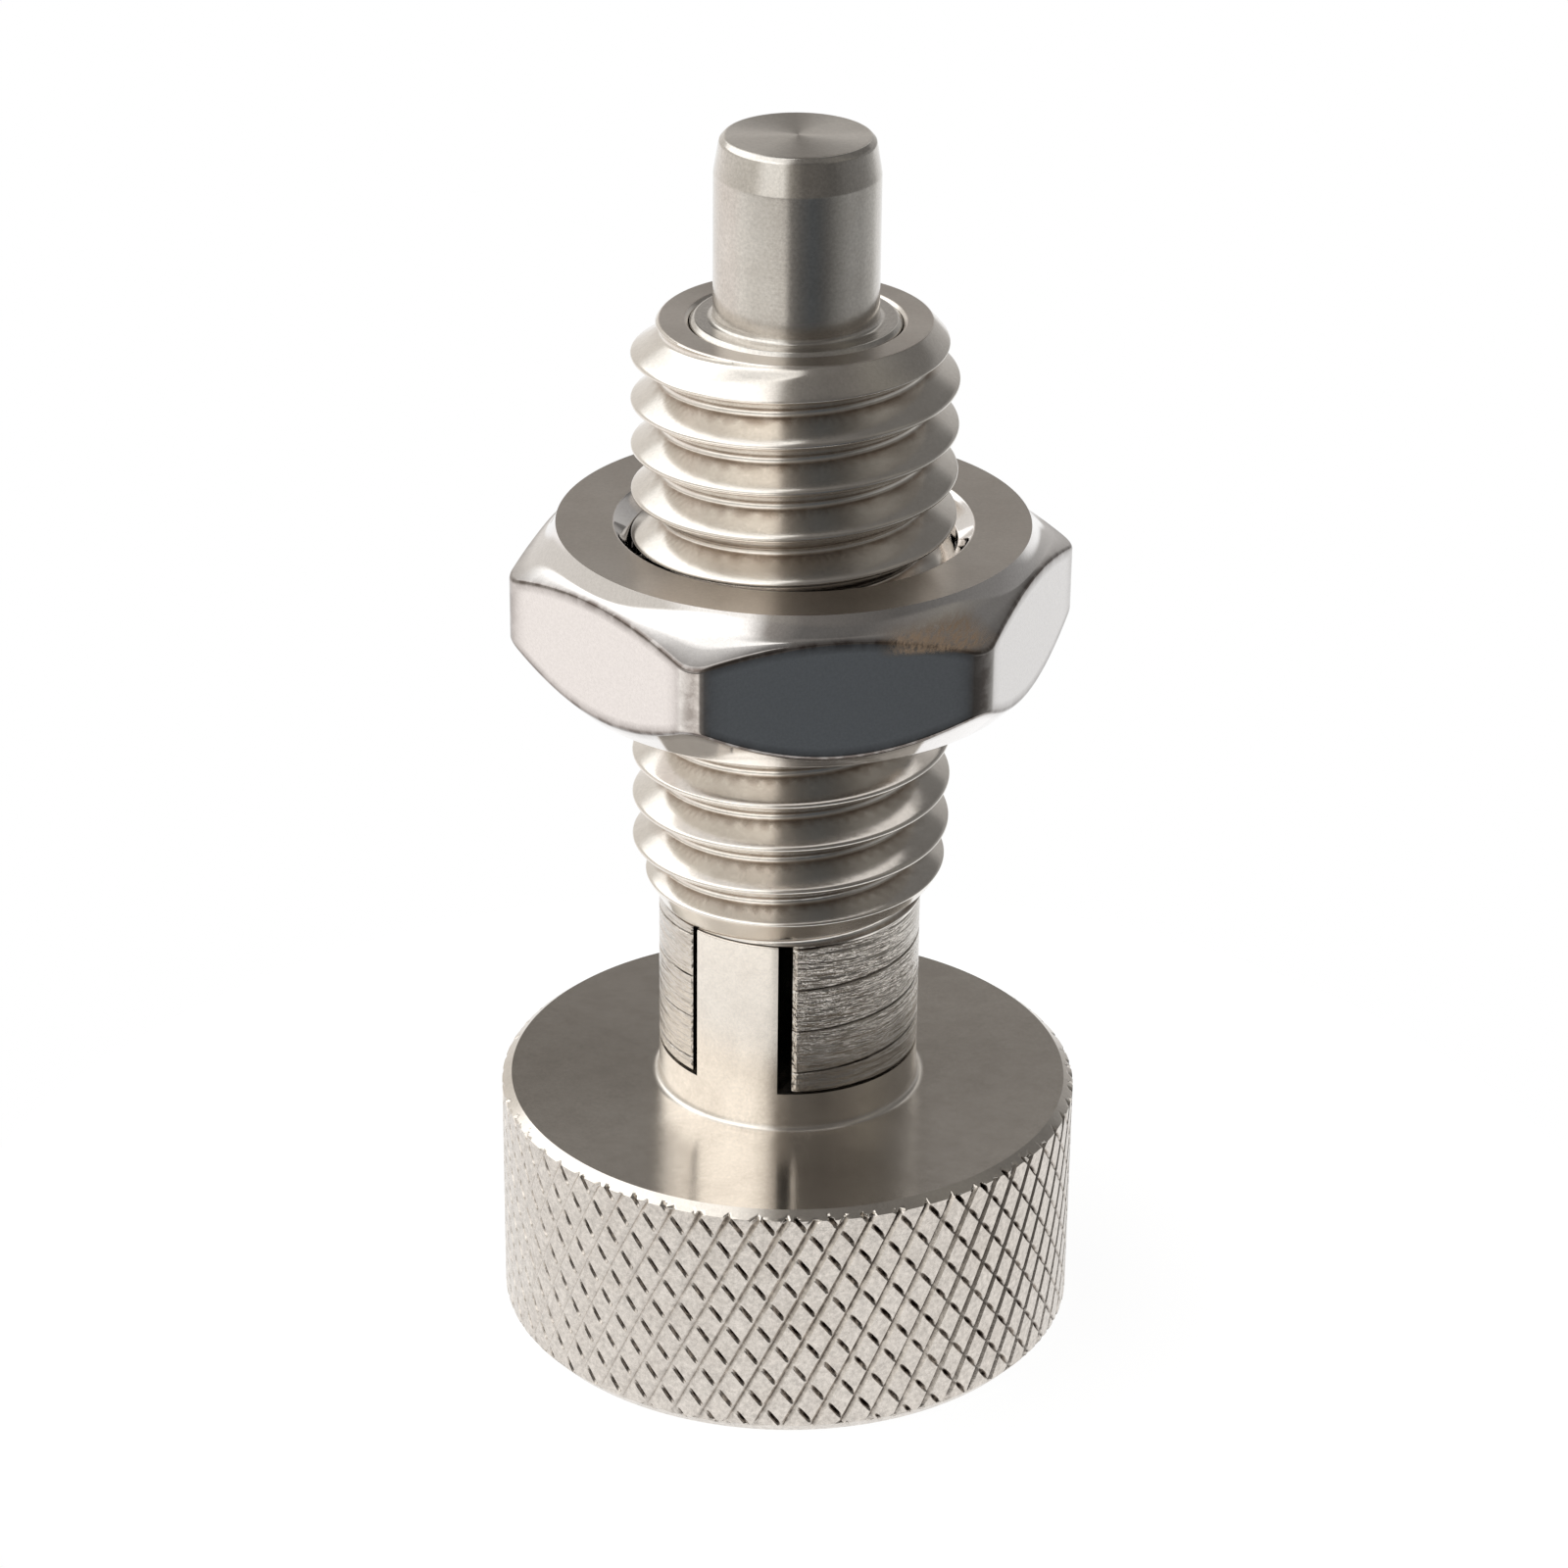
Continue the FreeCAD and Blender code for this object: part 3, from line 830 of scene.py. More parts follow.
    def top_part(self) -> Shell:
        """The two tabs and the open steps between them, above the collar's top.

        Returns:
            Their shell.
        """
        shell = Shell()
        step = self.stack.collar_top
        peak = self.stack.slot_end - self.tab_gap
        soft = self.tang_break
        half = math.asin(self.tang_half / self.stem)
        root = math.asin(self.tang_half / self.rod_hole)
        arc = np.linspace(QUARTER - half, QUARTER + half, self.tab_columns)
        bore = np.linspace(QUARTER - root, QUARTER + root, self.tab_columns)
        drops = soft * np.array([1.6, 1.0, 0.6, 0.2, 0.0])[:, None]
        heights = np.concatenate([[[step]], peak - drops])
        insets = soft * np.array([0.0, 0.0, 0.0, 0.08, 0.4, 1.0])[:, None]
        outer = placed(self.stem - insets, arc, heights)
        inner = placed(self.rod_hole, bore, heights)
        tab = np.concatenate([outer, inner[:, ::-1]], axis=1)
        cap = strip(outer[-1], inner[-1])
        side = np.linspace(QUARTER + half, 3 * QUARTER - half, self.side_columns)
        gap = np.linspace(QUARTER + root, 3 * QUARTER - root, self.hole_columns)
        edge = placed(self.stem, side, step)
        hole = placed(self.rod_hole, gap, step)
        run = (self.side_columns - self.hole_columns) // 2 + 1
        lead = strip(edge[:1], hole[:1], run)[:-1, 0]
        tail = strip(hole[-1:], edge[-1:], run)[1:, 0]
        ledge = strip(edge, np.concatenate([lead, hole, tail]))
        for facing in (0.0, math.pi):
            shell.add_grid(rotated(tab, facing))
            shell.add_grid(rotated(cap, facing), ring=False)
            shell.add_grid(rotated(ledge, facing), ring=False)
        return shell

    def at_rest(self, shell: Shell) -> Shell:
        """Turn a part of the knob to where it rests in the slot."""
        shell.points = [rotated(points, math.radians(self.rest_turn)) for points in shell.points]
        return shell

    def dress(self, knurled: Material, smooth: Material) -> None:
        """Build the disc and the stem and set them on the knob's body.

        Args:
            knurled: Finish of the disc.
            smooth: Finish of its top and the stem.
        """
        stem = self.at_rest(self.stem_part())
        disc = self.at_rest(self.disc()).build("knob_disc", knurled)
        refinish(disc, smooth, self.stack.knob_top - self.chamfer, self.stack.knob_top + 0.01)
        for piece in (disc, stem.build("knob_stem", smooth)):
            settle(piece, "pull_knob", "knob")


@dataclass
class LockNut:
    """The thin hexagon nut: a low step and a cone on top, a chamfer below, rounded corners."""

    stack: Stack
    apothem: float = 9.25
    corner_radius: float = 1.2
    top_drop: float = 7.81
    height: float = 5.95
    ring: float = 8.72
    step_radius: float = 8.95
    step_height: float = 0.7
    step_reach: float = 9.85
    top_angle: float = 30.0
    base_ring: float = 8.62
    base_angle: float = 45.0
    sink: float = 6.62
    bore: float = 6.02
    bore_seam: float = 2.5
    turn: float = 3.1
    # Width of the painted shade on the edges, then width and strength of the painted shade beside the
    # corners.
    shade_width: float = 0.18
    margin: float = 0.414
    corner_width: float = 0.6
    corner_shade: float = 0.8
    side_columns: int = 64

    def from_corner(self, turns: Array) -> Array:
        """Angle from the nearest corner."""
        return SIXTH / 2 - np.abs((turns + SIXTH / 2) % SIXTH - SIXTH / 2)

    def outline(self, turns: Array) -> Array:
        """Distance from the axis to the hexagon with rounded corners.

        Along a side it is the apothem over the cosine of the angle from the side's middle. Near
        a corner it is c cos g + sqrt(r^2 - c^2 sin^2 g), with g the angle from the corner, r the
        rounding and c the distance to the rounding's centre.

        Args:
            turns: The columns' angles.

        Returns:
            The distances.
        """
        gamma = self.from_corner(turns)
        centre = (self.apothem - self.corner_radius) / math.cos(SIXTH / 2)
        across = self.corner_radius * math.sin(SIXTH / 2)
        tangent = math.atan2(across, centre + self.corner_radius * math.cos(SIXTH / 2))
        under = np.clip(self.corner_radius**2 - (centre * np.sin(gamma)) ** 2, 0.0, None)
        rounded = centre * np.cos(gamma) + np.sqrt(under)
        return np.where(gamma < tangent, rounded, self.apothem / np.cos(SIXTH / 2 - gamma))

    def columns(self) -> Array:
        """Angles of the columns, closer together near the corners.

        Returns:
            The angles.
        """
        share = np.linspace(-1.0, 1.0, self.side_columns, endpoint=False)
        beta = SIXTH / 2 * np.sin(share * QUARTER)
        return np.concatenate([beta + side * SIXTH for side in range(6)])

    def body(self) -> Shell:
        """The nut as one closed profile that follows the hexagon.

        Painted shade lies on the side faces' curved edges and beside their upright corners, each
        a bell curve of the distance. Rows at the margin keep it off the middles of the faces.

        Returns:
            Its shell.
        """
        turns = self.columns()
        reach = self.outline(turns)
        top = self.stack.nose - self.top_drop
        base = top - self.height
        step = top - self.step_height
        deep = self.sink - self.bore
        slope = math.tan(math.radians(self.top_angle))
        base_slope = math.tan(math.radians(self.base_angle))
        top_edge = step - (reach - self.step_radius) * slope
        base_edge = base + (reach - self.base_ring) * base_slope
        foot = np.minimum(self.step_reach, 0.5 * reach + 0.5 * self.step_radius)
        places = (
            (self.bore, base + self.bore_seam),
            (self.bore, base + deep),
            (self.sink, base),
            (self.base_ring, base),
            (reach - self.margin, base_edge - self.margin),
            (reach, base_edge),
            (reach, base_edge + self.margin),
            (reach, top_edge - self.margin),
            (reach, top_edge),
            (foot, step - (foot - self.step_radius) * slope),
            (self.step_radius, step),
            (self.ring, top),
            (self.sink, top),
            (self.bore, top - deep),
            (self.bore, base + self.bore_seam),
        )
        flat = np.ones_like(turns)
        corners = np.array([[radius * flat, height * flat] for radius, height in places])
        corners = corners.transpose(0, 2, 1)
        breaks = [0.0, 0.04, 0.06, 0.12, 0.0, 0.14, 0.0, 0.0, 0.14, 0.0]
        before = eased(corners[:10], breaks, steps=7)
        curve = bend(corners[9][None], corners[10][None], corners[11][None], 13)
        after = eased(corners[11:], [0.0, 0.05, 0.04, 0.0], steps=7)
        path = np.concatenate([before[:-1], curve, after[1:]])
        # Painted shade: dark bands along the side faces' curved edges and beside the upright corners.
        from_edges = [np.linalg.norm(path - corners[index], axis=-1) for index in (5, 8)]
        shade = np.exp(-((np.minimum(*from_edges) / self.shade_width) ** 2))
        from_corner = self.from_corner(turns) * reach
        beside = self.corner_shade * np.exp(-((from_corner / self.corner_width) ** 2))
        edge = np.maximum(shade, beside * (path[..., 0] > reach - 0.01))
        shell = Shell()
        shell.add_grid(spun(path, turns + math.radians(self.turn)), edge=edge)
        return shell

    def dress(self, finish: Material, top_finish: Material) -> None:
        """Build the nut, give its top ring its own finish, and set it on its own body.

        Args:
            finish: Finish of the nut.
            top_finish: Finish of its top ring.
        """
        piece = self.body().build("nut", finish)
        top = self.stack.nose - self.top_drop
        refinish(piece, top_finish, top - 0.02, top + 0.02)
        settle(piece, "nut", "lock_nut")


@dataclass
class CoilSpring:
    """The compression spring between the bore's floor and the pin's shoulder.

    The wire is a little thinner than in the part, so that its closed turns don't touch.
    """

    wire: float = 0.345
    middle: float = 3.35
    turns: float = 6.0
    rise: float = 0.7
    low: float = 20.87
    high: float = 32.08
    floor: float = 20.5
    seat: float = 32.45
    travel: float = 7.0
    steps: int = 432
    sides: int = 16

    def body(self) -> Shell:
        """The wire as one closed tube.

        At turn t its middle is at angle 2 pi t on a circle around Z, and climbs by the wire's
        thickness in the first and last turn, evenly in between. Around it, at angle a, the
        radius grows by w cos a and the height by w sin a, and w is 0 in the ends' middles.

        Returns:
            Its shell.
        """
        turn = np.linspace(0.0, self.turns, self.steps)
        turn = np.concatenate([turn[:1], turn, turn[-1:]])[:, None]
        thick = np.full_like(turn, self.wire)
        thick[[0, -1]] = 0.0
        climb = np.interp(
            turn,
            [0.0, 1.0, self.turns - 1.0, self.turns],
            [self.low, self.low + self.rise, self.high - self.rise, self.high],
        )
        side = full_turn(self.sides)
        shell = Shell()
        radius = self.middle + thick * np.cos(side)
        shell.add_grid(placed(radius, TURN * turn, climb + thick * np.sin(side)))
        return shell

    def dress(self, finish: Material) -> None:
        """Build the spring and set it on the plunger's body, with a mesh of its own.

        Args:
            finish: Finish of the wire.
        """
        piece = self.body().build("coil_spring", finish)
        settle(piece, "plunger", "spring")
        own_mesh(piece)


# Finishes


def linear(value: str) -> tuple[float, float, float, float]:
    """Turn an sRGB hex colour into the linear colour that shaders take."""
    parts = [int(value[start : start + 2], 16) / 255.0 for start in (1, 3, 5)]
    red, green, blue = (
        part / 12.92 if part <= 0.04045 else ((part + 0.055) / 1.055) ** 2.4 for part in parts
    )
    return red, green, blue, 1.0


def empty_tree(owner: Material | bpy.types.World) -> Tree:
    """The node tree of a material or world, without nodes."""
    owner.use_nodes = True
    owner.node_tree.nodes.clear()
    return owner.node_tree


def add_node(tree: Tree, kind: str, links: dict[Any, Any], **settings: Any) -> Any:
    """Add a node with its settings and what its inputs take.

    Args:
        tree: The node tree.
        kind: The node's type, without the words that all types start with.
        links: By input name or number, a value or an output socket.
        **settings: Properties of the node.

    Returns:
        The node.
    """
    node = tree.nodes.new("ShaderNode" + kind)
    for name, value in settings.items():
        setattr(node, name, value)
    for name, value in links.items():
        if isinstance(value, Socket):
            tree.links.new(value, node.inputs[name])
        else:
            node.inputs[name].default_value = value
    return node


@dataclass(frozen=True)
class SteelFinish:
    """Stainless steel with the marks of how its surface was made.

    Marks run around the axis: a noise over (radius, height) that changes slowly along the turn.
    Speckle and a thin brown film vary the colour, and painted shade darkens what the mesh's edge
    share names, with gaps in it. Sizes are in millimetres, and a mark's length is the one at the
    reference radius. Real turning and grinding marks are 0.01 to 0.03 apart, too fine for the
    render, so they are drawn at least 0.06 wide.
    """

    name: str
    colour: str
    roughness: float
    anisotropy: float
    mark_width: float = 0.06
    mark_depth: float = 0.0004
    mark_length: float = 12.0
    reference_radius: float = 5.0
    speckle: float = 0.05
    speckle_size: float = 0.06
    grain: float = 5.0
    film: str = "#8A7866"
    film_share: float = 0.12
    film_size: float = 1.5
    # Colour, strength, gaps and size of the painted shade that the edge share names.
    shade_colour: str = "#4E4034"
    shade_share: float = 0.0
    shade_gaps: float = 0.4
    shade_size: float = 0.7
    worn_roughness: float = 0.5

    def coordinates(self, tree: Tree) -> tuple[Socket, Socket, Socket]:
        """Places on the piece, in millimetres.

        Args:
            tree: The material's tree.

        Returns:
            The place, the distance from the axis, and (radius, a little of the turn, height).
        """
        texture = add_node(tree, "TexCoord", {})
        real = {0: texture.outputs["Object"], "Scale": 1 / MILLIMETRE}
        place = add_node(tree, "VectorMath", real, operation="SCALE").outputs[0]
        x, y, z = add_node(tree, "SeparateXYZ", {0: place}).outputs
        flat = add_node(tree, "CombineXYZ", {"X": x, "Y": y}).outputs[0]
        radius = add_node(tree, "VectorMath", {0: flat}, operation="LENGTH").outputs["Value"]
        facing = add_node(tree, "VectorMath", {0: flat}, operation="NORMALIZE").outputs[0]
        share = self.reference_radius * self.mark_width / self.mark_length
        slow = add_node(tree, "VectorMath", {0: facing, "Scale": share}, operation="SCALE").outputs[0]
        profile = add_node(tree, "CombineXYZ", {"X": radius, "Z": z}).outputs[0]
        along = add_node(tree, "VectorMath", {0: profile, 1: slow}, operation="ADD").outputs[0]
        return place, radius, along

    def wear(self, tree: Tree, place: Socket, radius: Socket) -> Socket | None:
        """Share of rubbed and stained metal; a plain finish has none."""
        return None

    def colour_node(self, tree: Tree, place: Socket) -> Socket:
        """The metal's colour with its film, painted shade and speckle.

        Args:
            tree: The material's tree.
            place: Place on the piece.

        Returns:
            The colour socket.
        """
        least_shade = (1.0 - self.shade_gaps) * self.shade_share
        # Size, detail and roughness of the noise, its ends, and what it gives at each end.
        patterns = (
            (self.film_size, 6.0, 0.65, 0.42, 0.7, 0.0, self.film_share),
            (self.shade_size, 5.0, 0.6, 0.4, 0.55, least_shade, self.shade_share),
            (self.speckle_size, 3.0, 0.7, 0.3, 0.7, 1.0 - self.speckle, 1.0 + self.speckle),
        )
        shares = []
        for size, detail, roughness, start, end, least, most in patterns:
            look = {"Vector": place, "Scale": 1 / size, "Detail": detail, "Roughness": roughness}
            noise = add_node(tree, "TexNoise", look).outputs["Fac"]
            spread = {"Value": noise, "From Min": start, "From Max": end, "To Min": least, "To Max": most}
            shares.append(add_node(tree, "MapRange", spread).outputs[0])
        film, kept, gain = shares
        # Painted shade: the edge share, broken up by noise, darkens the colour toward the shade colour.
        edge = add_node(tree, "Attribute", {}, attribute_name="edge").outputs["Fac"]
        shaded = add_node(tree, "Math", {0: edge, 1: kept}, operation="MULTIPLY").outputs[0]
        colour: Any = linear(self.colour)
        for share, coat in ((film, self.film), (shaded, self.shade_colour)):
            layers = {0: share, 6: colour, 7: linear(coat)}
            colour = add_node(tree, "Mix", layers, data_type="RGBA").outputs[2]
        return add_node(tree, "VectorMath", {0: colour, "Scale": gain}, operation="SCALE").outputs[0]

    def material(self) -> Material:
        """Make the material.

        Returns:
            The material.
        """
        material = bpy.data.materials.new(self.name)
        tree = empty_tree(material)
        place, radius, along = self.coordinates(tree)
        colour = self.colour_node(tree, place)
        look = {"Vector": along, "Scale": 1 / self.mark_width, "Detail": 3.0, "Roughness": 0.6}
        marks = add_node(tree, "TexNoise", look).outputs["Fac"]
        look = {"Vector": place, "Scale": 0.7 / self.speckle_size, "Detail": 2.0}
        grain = add_node(tree, "TexNoise", look).outputs["Fac"]
        both = {0: grain, 1: self.grain * self.speckle, 2: marks}
        height = add_node(tree, "Math", both, operation="MULTIPLY_ADD").outputs[0]
        relief = {"Height": height, "Distance": self.mark_depth * MILLIMETRE, "Strength": 1.0}
        bump = add_node(tree, "Bump", relief).outputs["Normal"]
        tangent = add_node(tree, "Tangent", {}, direction_type="RADIAL", axis="Z").outputs[0]
        roughness: Any = self.roughness
        worn = self.wear(tree, place, radius)
        if worn is not None:
            rise = {0: worn, 1: self.worn_roughness, 2: self.roughness}
            roughness = add_node(tree, "Math", rise, operation="MULTIPLY_ADD").outputs[0]
            layers = {0: worn, 6: colour, 7: linear(self.film)}
            colour = add_node(tree, "Mix", layers, data_type="RGBA").outputs[2]
        metal = {
            "Base Color": colour,
            "Metallic": 1.0,
            "Roughness": roughness,
            "Anisotropic": self.anisotropy,
            "Anisotropic Rotation": 0.25,
            "Tangent": tangent,
            "Normal": bump,
        }
        shader = add_node(tree, "BsdfPrincipled", metal)
        add_node(tree, "OutputMaterial", {"Surface": shader.outputs["BSDF"]})
        return material


@dataclass(frozen=True)
class NutFinish(SteelFinish):
    """A polished nut with one rubbed, stained patch on a corner.

    The patch lies between two angles around the axis and above a height, beyond a radius.
    """

    patch_turns: tuple[float, float] = (-46.0, -24.0)
    patch_soft_turn: float = 3.0
    patch_radius: float = 9.1
    patch_soft_radius: float = 0.2
    patch_height: float = 31.1
    patch_soft_height: float = 0.1
    patch_least: float = 0.45
    scratch_ends: tuple[float, float] = (0.38, 0.55)
    scratch_turn: tuple[float, float, float] = (0.0, 0.6, 0.9)
    scratch_scale: tuple[float, float, float] = (9.0, 1.6, 4.0)

    def wear(self, tree: Tree, place: Socket, radius: Socket) -> Socket | None:
        """Share of rubbed metal: the patch, with fine scratches in it.

        Args:
            tree: The material's tree.
            place: Place on the nut.
            radius: Distance from the axis.

        Returns:
            The share's socket.
        """
        x, y, z = add_node(tree, "SeparateXYZ", {0: place}).outputs
        turn = add_node(tree, "Math", {0: y, 1: x}, operation="ARCTAN2").outputs[0]
        low, high = (math.radians(value) for value in self.patch_turns)
        soft = math.radians(self.patch_soft_turn)
        limits = (
            (turn, low, soft),
            (turn, high, -soft),
            (radius, self.patch_radius, self.patch_soft_radius),
            (z, self.patch_height, self.patch_soft_height),
        )
        stretch = {"Vector": place, "Rotation": self.scratch_turn, "Scale": self.scratch_scale}
        stretched = add_node(tree, "Mapping", stretch).outputs[0]
        look = {"Vector": stretched, "Scale": 1.0, "Detail": 5.0, "Roughness": 0.7}
        noise = add_node(tree, "TexNoise", look).outputs["Fac"]
        start, end = self.scratch_ends
        spread = {"Value": noise, "From Min": start, "From Max": end, "To Min": self.patch_least}
        patch = add_node(tree, "MapRange", spread).outputs[0]
        for value, middle, half in limits:
            spread = {"Value": value, "From Min": middle - half, "From Max": middle + half}
            inside = add_node(tree, "MapRange", spread).outputs[0]
            patch = add_node(tree, "Math", {0: patch, 1: inside}, operation="MULTIPLY").outputs[0]
        return patch


def steel_finishes() -> dict[str, Material]:
    """Make every finish of the plunger.

    Returns:
        The materials by the way their surface was made.
    """
    finishes = {
        # Stainless steel, ground between centres: satin, with a soft streak along the pin.
        "ground": SteelFinish(
            "ground_stainless_steel", "#D4D0CA", roughness=0.18, anisotropy=0.45,
            mark_width=0.09, mark_depth=0.0008, speckle=0.12, speckle_size=0.12, film_share=0.15,
        ),
        # Stainless steel, cut with a die: glossy flanks, with brown painted shade beside the root.
        "cut": SteelFinish(
            "cut_thread_steel", "#E9E4DD", roughness=0.17, anisotropy=0.5,
            speckle=0.06, speckle_size=0.12, shade_colour="#86684A", shade_share=0.6,
        ),
        # Stainless steel torn by a blunt turning tool: dark and bright marks along the turn,
        # with dark painted shade in the tail's lines and on the slot's walls.
        "rough": SteelFinish(
            "rough_turned_steel", "#D2CCC4", roughness=0.17, anisotropy=0.0,
            mark_width=0.34, mark_depth=0.2, mark_length=3.2, speckle=0.02,
            shade_colour="#33281F", shade_share=0.95, shade_gaps=0.15,
        ),
        # Stainless steel, faced on a lathe: its fine turning marks draw reflections out.
        "faced": SteelFinish(
            "faced_stainless_steel", "#E6E0D8", roughness=0.2, anisotropy=0.88,
            mark_width=0.09, mark_depth=0.0005, speckle=0.06, speckle_size=0.12,
            film="#776657", film_share=0.12, film_size=1.1,
        ),
        # Stainless steel, turned and left satin: the nut's seat and the sleeve's nose.
        "satin": SteelFinish(
            "satin_turned_steel", "#CFC8C0", roughness=0.3, anisotropy=0.8,
            mark_width=0.1, speckle=0.06, speckle_size=0.12,
        ),
        # Stainless steel, faced and worn: the end of the pin, with a fan of light on it.
        "end": SteelFinish(
            "end_turned_steel", "#D8D3CC", roughness=0.32, anisotropy=0.86,
            mark_width=0.1, speckle=0.08, speckle_size=0.12,
        ),
        # Stainless steel, rolled with two knurls: matt lozenges, with dark painted shade in the grooves.
        "knurled": SteelFinish(
            "knurled_stainless_steel", "#D6CFC7", roughness=0.27, anisotropy=0.0,
            mark_width=0.09, mark_depth=0.006, mark_length=0.25, speckle=0.22, speckle_size=0.18,
            shade_colour="#35261D", shade_share=0.95, shade_gaps=0.6, shade_size=0.4,
        ),
        # Stainless steel, tumbled and polished: bright, with painted shade on its edges and
        # beside its corners, and one rubbed corner.
        "polished": NutFinish(
            "polished_stainless_steel", "#EBE8E6", roughness=0.07, anisotropy=0.0,
            mark_width=0.2, mark_depth=0.00006, speckle=0.07, speckle_size=0.1,
            film="#CDB69F", film_share=0.0, shade_colour="#46352A", shade_share=0.92, shade_gaps=0.25,
        ),
        # Stainless spring wire, drawn: smooth and a little dark.
        "drawn": SteelFinish(
            "drawn_stainless_wire", "#C9C4BC", roughness=0.2, anisotropy=0.3, speckle=0.03
        ),
    }
    return {name: finish.material() for name, finish in finishes.items()}


# Studio


@dataclass(frozen=True)
class Sky:
    """Soft studio light by direction: a wide white screen on one side, a dark one opposite.

    Each band is a list of (azimuth in degrees, red, green, blue). Azimuth 0 is the side that
    the photograph is taken from, and it grows to the right. The bands follow each other upward,
    and each rise gives the two elevations between which a band takes over from the one below.
    """

    bearing: float
    low: Band = (
        (-180, 1.0, 1.0, 1.0), (-120, 1.03, 0.98, 0.95), (-98, 1.01, 0.96, 0.93),
        (-84, 1.40, 1.37, 1.32), (-16, 1.50, 1.45, 1.38), (-9, 0.30, 0.28, 0.26),
        (6, 0.10, 0.10, 0.10), (21, 0.080, 0.089, 0.098), (42, 0.070, 0.068, 0.065),
        (57, 0.11, 0.107, 0.103), (76, 0.20, 0.195, 0.19), (127, 0.45, 0.45, 0.44),
        (141, 0.80, 0.80, 0.80), (180, 1.0, 1.0, 1.0),
    )
    middle: Band = (
        (-180, 1.0, 1.0, 1.0), (-120, 1.03, 0.98, 0.95), (-99, 1.01, 0.96, 0.93),
        (-78, 0.80, 0.78, 0.75), (-58, 0.60, 0.585, 0.56), (-32, 0.47, 0.455, 0.43),
        (-18, 0.36, 0.345, 0.325), (-9, 0.16, 0.155, 0.15), (8, 0.110, 0.112, 0.115),
        (21, 0.086, 0.095, 0.104), (32, 0.10, 0.105, 0.11), (42, 0.14, 0.14, 0.14),
        (57, 0.25, 0.25, 0.245), (76, 0.36, 0.36, 0.355), (100, 0.37, 0.37, 0.365),
        (127, 0.57, 0.57, 0.56), (141, 0.88, 0.88, 0.88), (180, 1.0, 1.0, 1.0),
    )
    rim: Band = (
        (-180, 0.66, 0.64, 0.62), (-170, 0.85, 0.82, 0.79), (-150, 0.75, 0.72, 0.68),
        (-62, 0.72, 0.69, 0.64), (-46, 1.12, 1.10, 1.06), (-20, 1.12, 1.10, 1.06),
        (-10, 0.34, 0.32, 0.29), (6, 0.16, 0.15, 0.14), (50, 0.11, 0.105, 0.10),
        (70, 0.16, 0.155, 0.15), (110, 0.22, 0.215, 0.21), (132, 0.30, 0.295, 0.29),
        (150, 0.42, 0.41, 0.40), (180, 0.66, 0.64, 0.62),
    )
    high: Band = (
        (-180, 0.13, 0.12, 0.11), (-172, 0.17, 0.16, 0.15), (-160, 0.45, 0.43, 0.40),
        (-150, 1.1, 1.1, 1.08), (-135, 1.75, 1.74, 1.72), (-34, 1.75, 1.74, 1.72),
        (-20, 1.2, 1.18, 1.15), (-10, 0.30, 0.28, 0.26), (6, 0.13, 0.125, 0.12),
        (32, 0.12, 0.115, 0.11), (55, 0.18, 0.17, 0.16), (80, 0.24, 0.23, 0.21),
        (110, 0.17, 0.165, 0.16), (144, 0.17, 0.165, 0.16), (152, 0.36, 0.355, 0.345),
        (160, 0.70, 0.69, 0.67), (171, 0.30, 0.29, 0.28), (180, 0.13, 0.12, 0.11),
    )
    top: Band = (
        (-180, 0.20, 0.195, 0.19), (-132, 0.24, 0.235, 0.23), (-124, 0.50, 0.49, 0.48),
        (-114, 0.90, 0.89, 0.87), (-100, 1.25, 1.24, 1.22), (-40, 1.25, 1.24, 1.21),
        (-25, 0.9, 0.88, 0.86), (-12, 0.30, 0.29, 0.27), (0, 0.20, 0.19, 0.18),
        (120, 0.15, 0.145, 0.14), (180, 0.17, 0.16, 0.15),
    )
    behind: Band = (
        (-180, 1.0, 1.0, 1.0), (-165, 1.0, 1.0, 1.0), (-150, 0.0, 0.0, 0.0),
        (150, 0.0, 0.0, 0.0), (165, 1.0, 1.0, 1.0), (180, 1.0, 1.0, 1.0),
    )
    rises: tuple[tuple[float, float], ...] = ((-22.3, -20.6), (-13.0, -5.0), (17.0, 23.0), (48.0, 70.0))
    backdrop_rise: tuple[float, float] = (-5.0, -13.0)

    def colours(self, tree: Tree, where: Socket) -> list[Socket]:
        """The colour of each band over the azimuth, at its real strength.

        Args:
            tree: The world's tree.
            where: Azimuth as a share of a full turn.

        Returns:
            The colours of the bands from the lowest up, then the backdrop's.
        """
        colours = []
        for stops in (self.low, self.middle, self.rim, self.high, self.top, self.behind):
            strongest = max(max(colour) for _, *colour in stops)
            ramp = add_node(tree, "ValToRGB", {"Fac": where})
            elements = ramp.color_ramp.elements
            for _ in range(len(stops) - 2):
                elements.new(0.5)
            for element, (azimuth, *_) in zip(elements, stops):
                element.position = azimuth / 360.0 + 0.5
            for element, (_, *colour) in zip(elements, stops):
                element.color = (*(part / strongest for part in colour), 1.0)
            scale = {0: ramp.outputs["Color"], "Scale": strongest}
            colours.append(add_node(tree, "VectorMath", scale, operation="SCALE").outputs[0])
        return colours

    def shares(self, tree: Tree, elevation: Socket) -> list[Socket]:
        """How far each band has taken over: from 0 to 1, softly, between two elevations.

        Args:
            tree: The world's tree.
            elevation: Elevation in radians.

        Returns:
            The shares of the bands above the lowest, then the backdrop's.
        """
        shares = []
        for limits in (*self.rises, self.backdrop_rise):
            start, end = (math.radians(limit) for limit in limits)
            spread = {"Value": elevation, "From Min": start, "From Max": end}
            rise = add_node(tree, "MapRange", spread, interpolation_type="SMOOTHSTEP")
            shares.append(rise.outputs[0])
        return shares

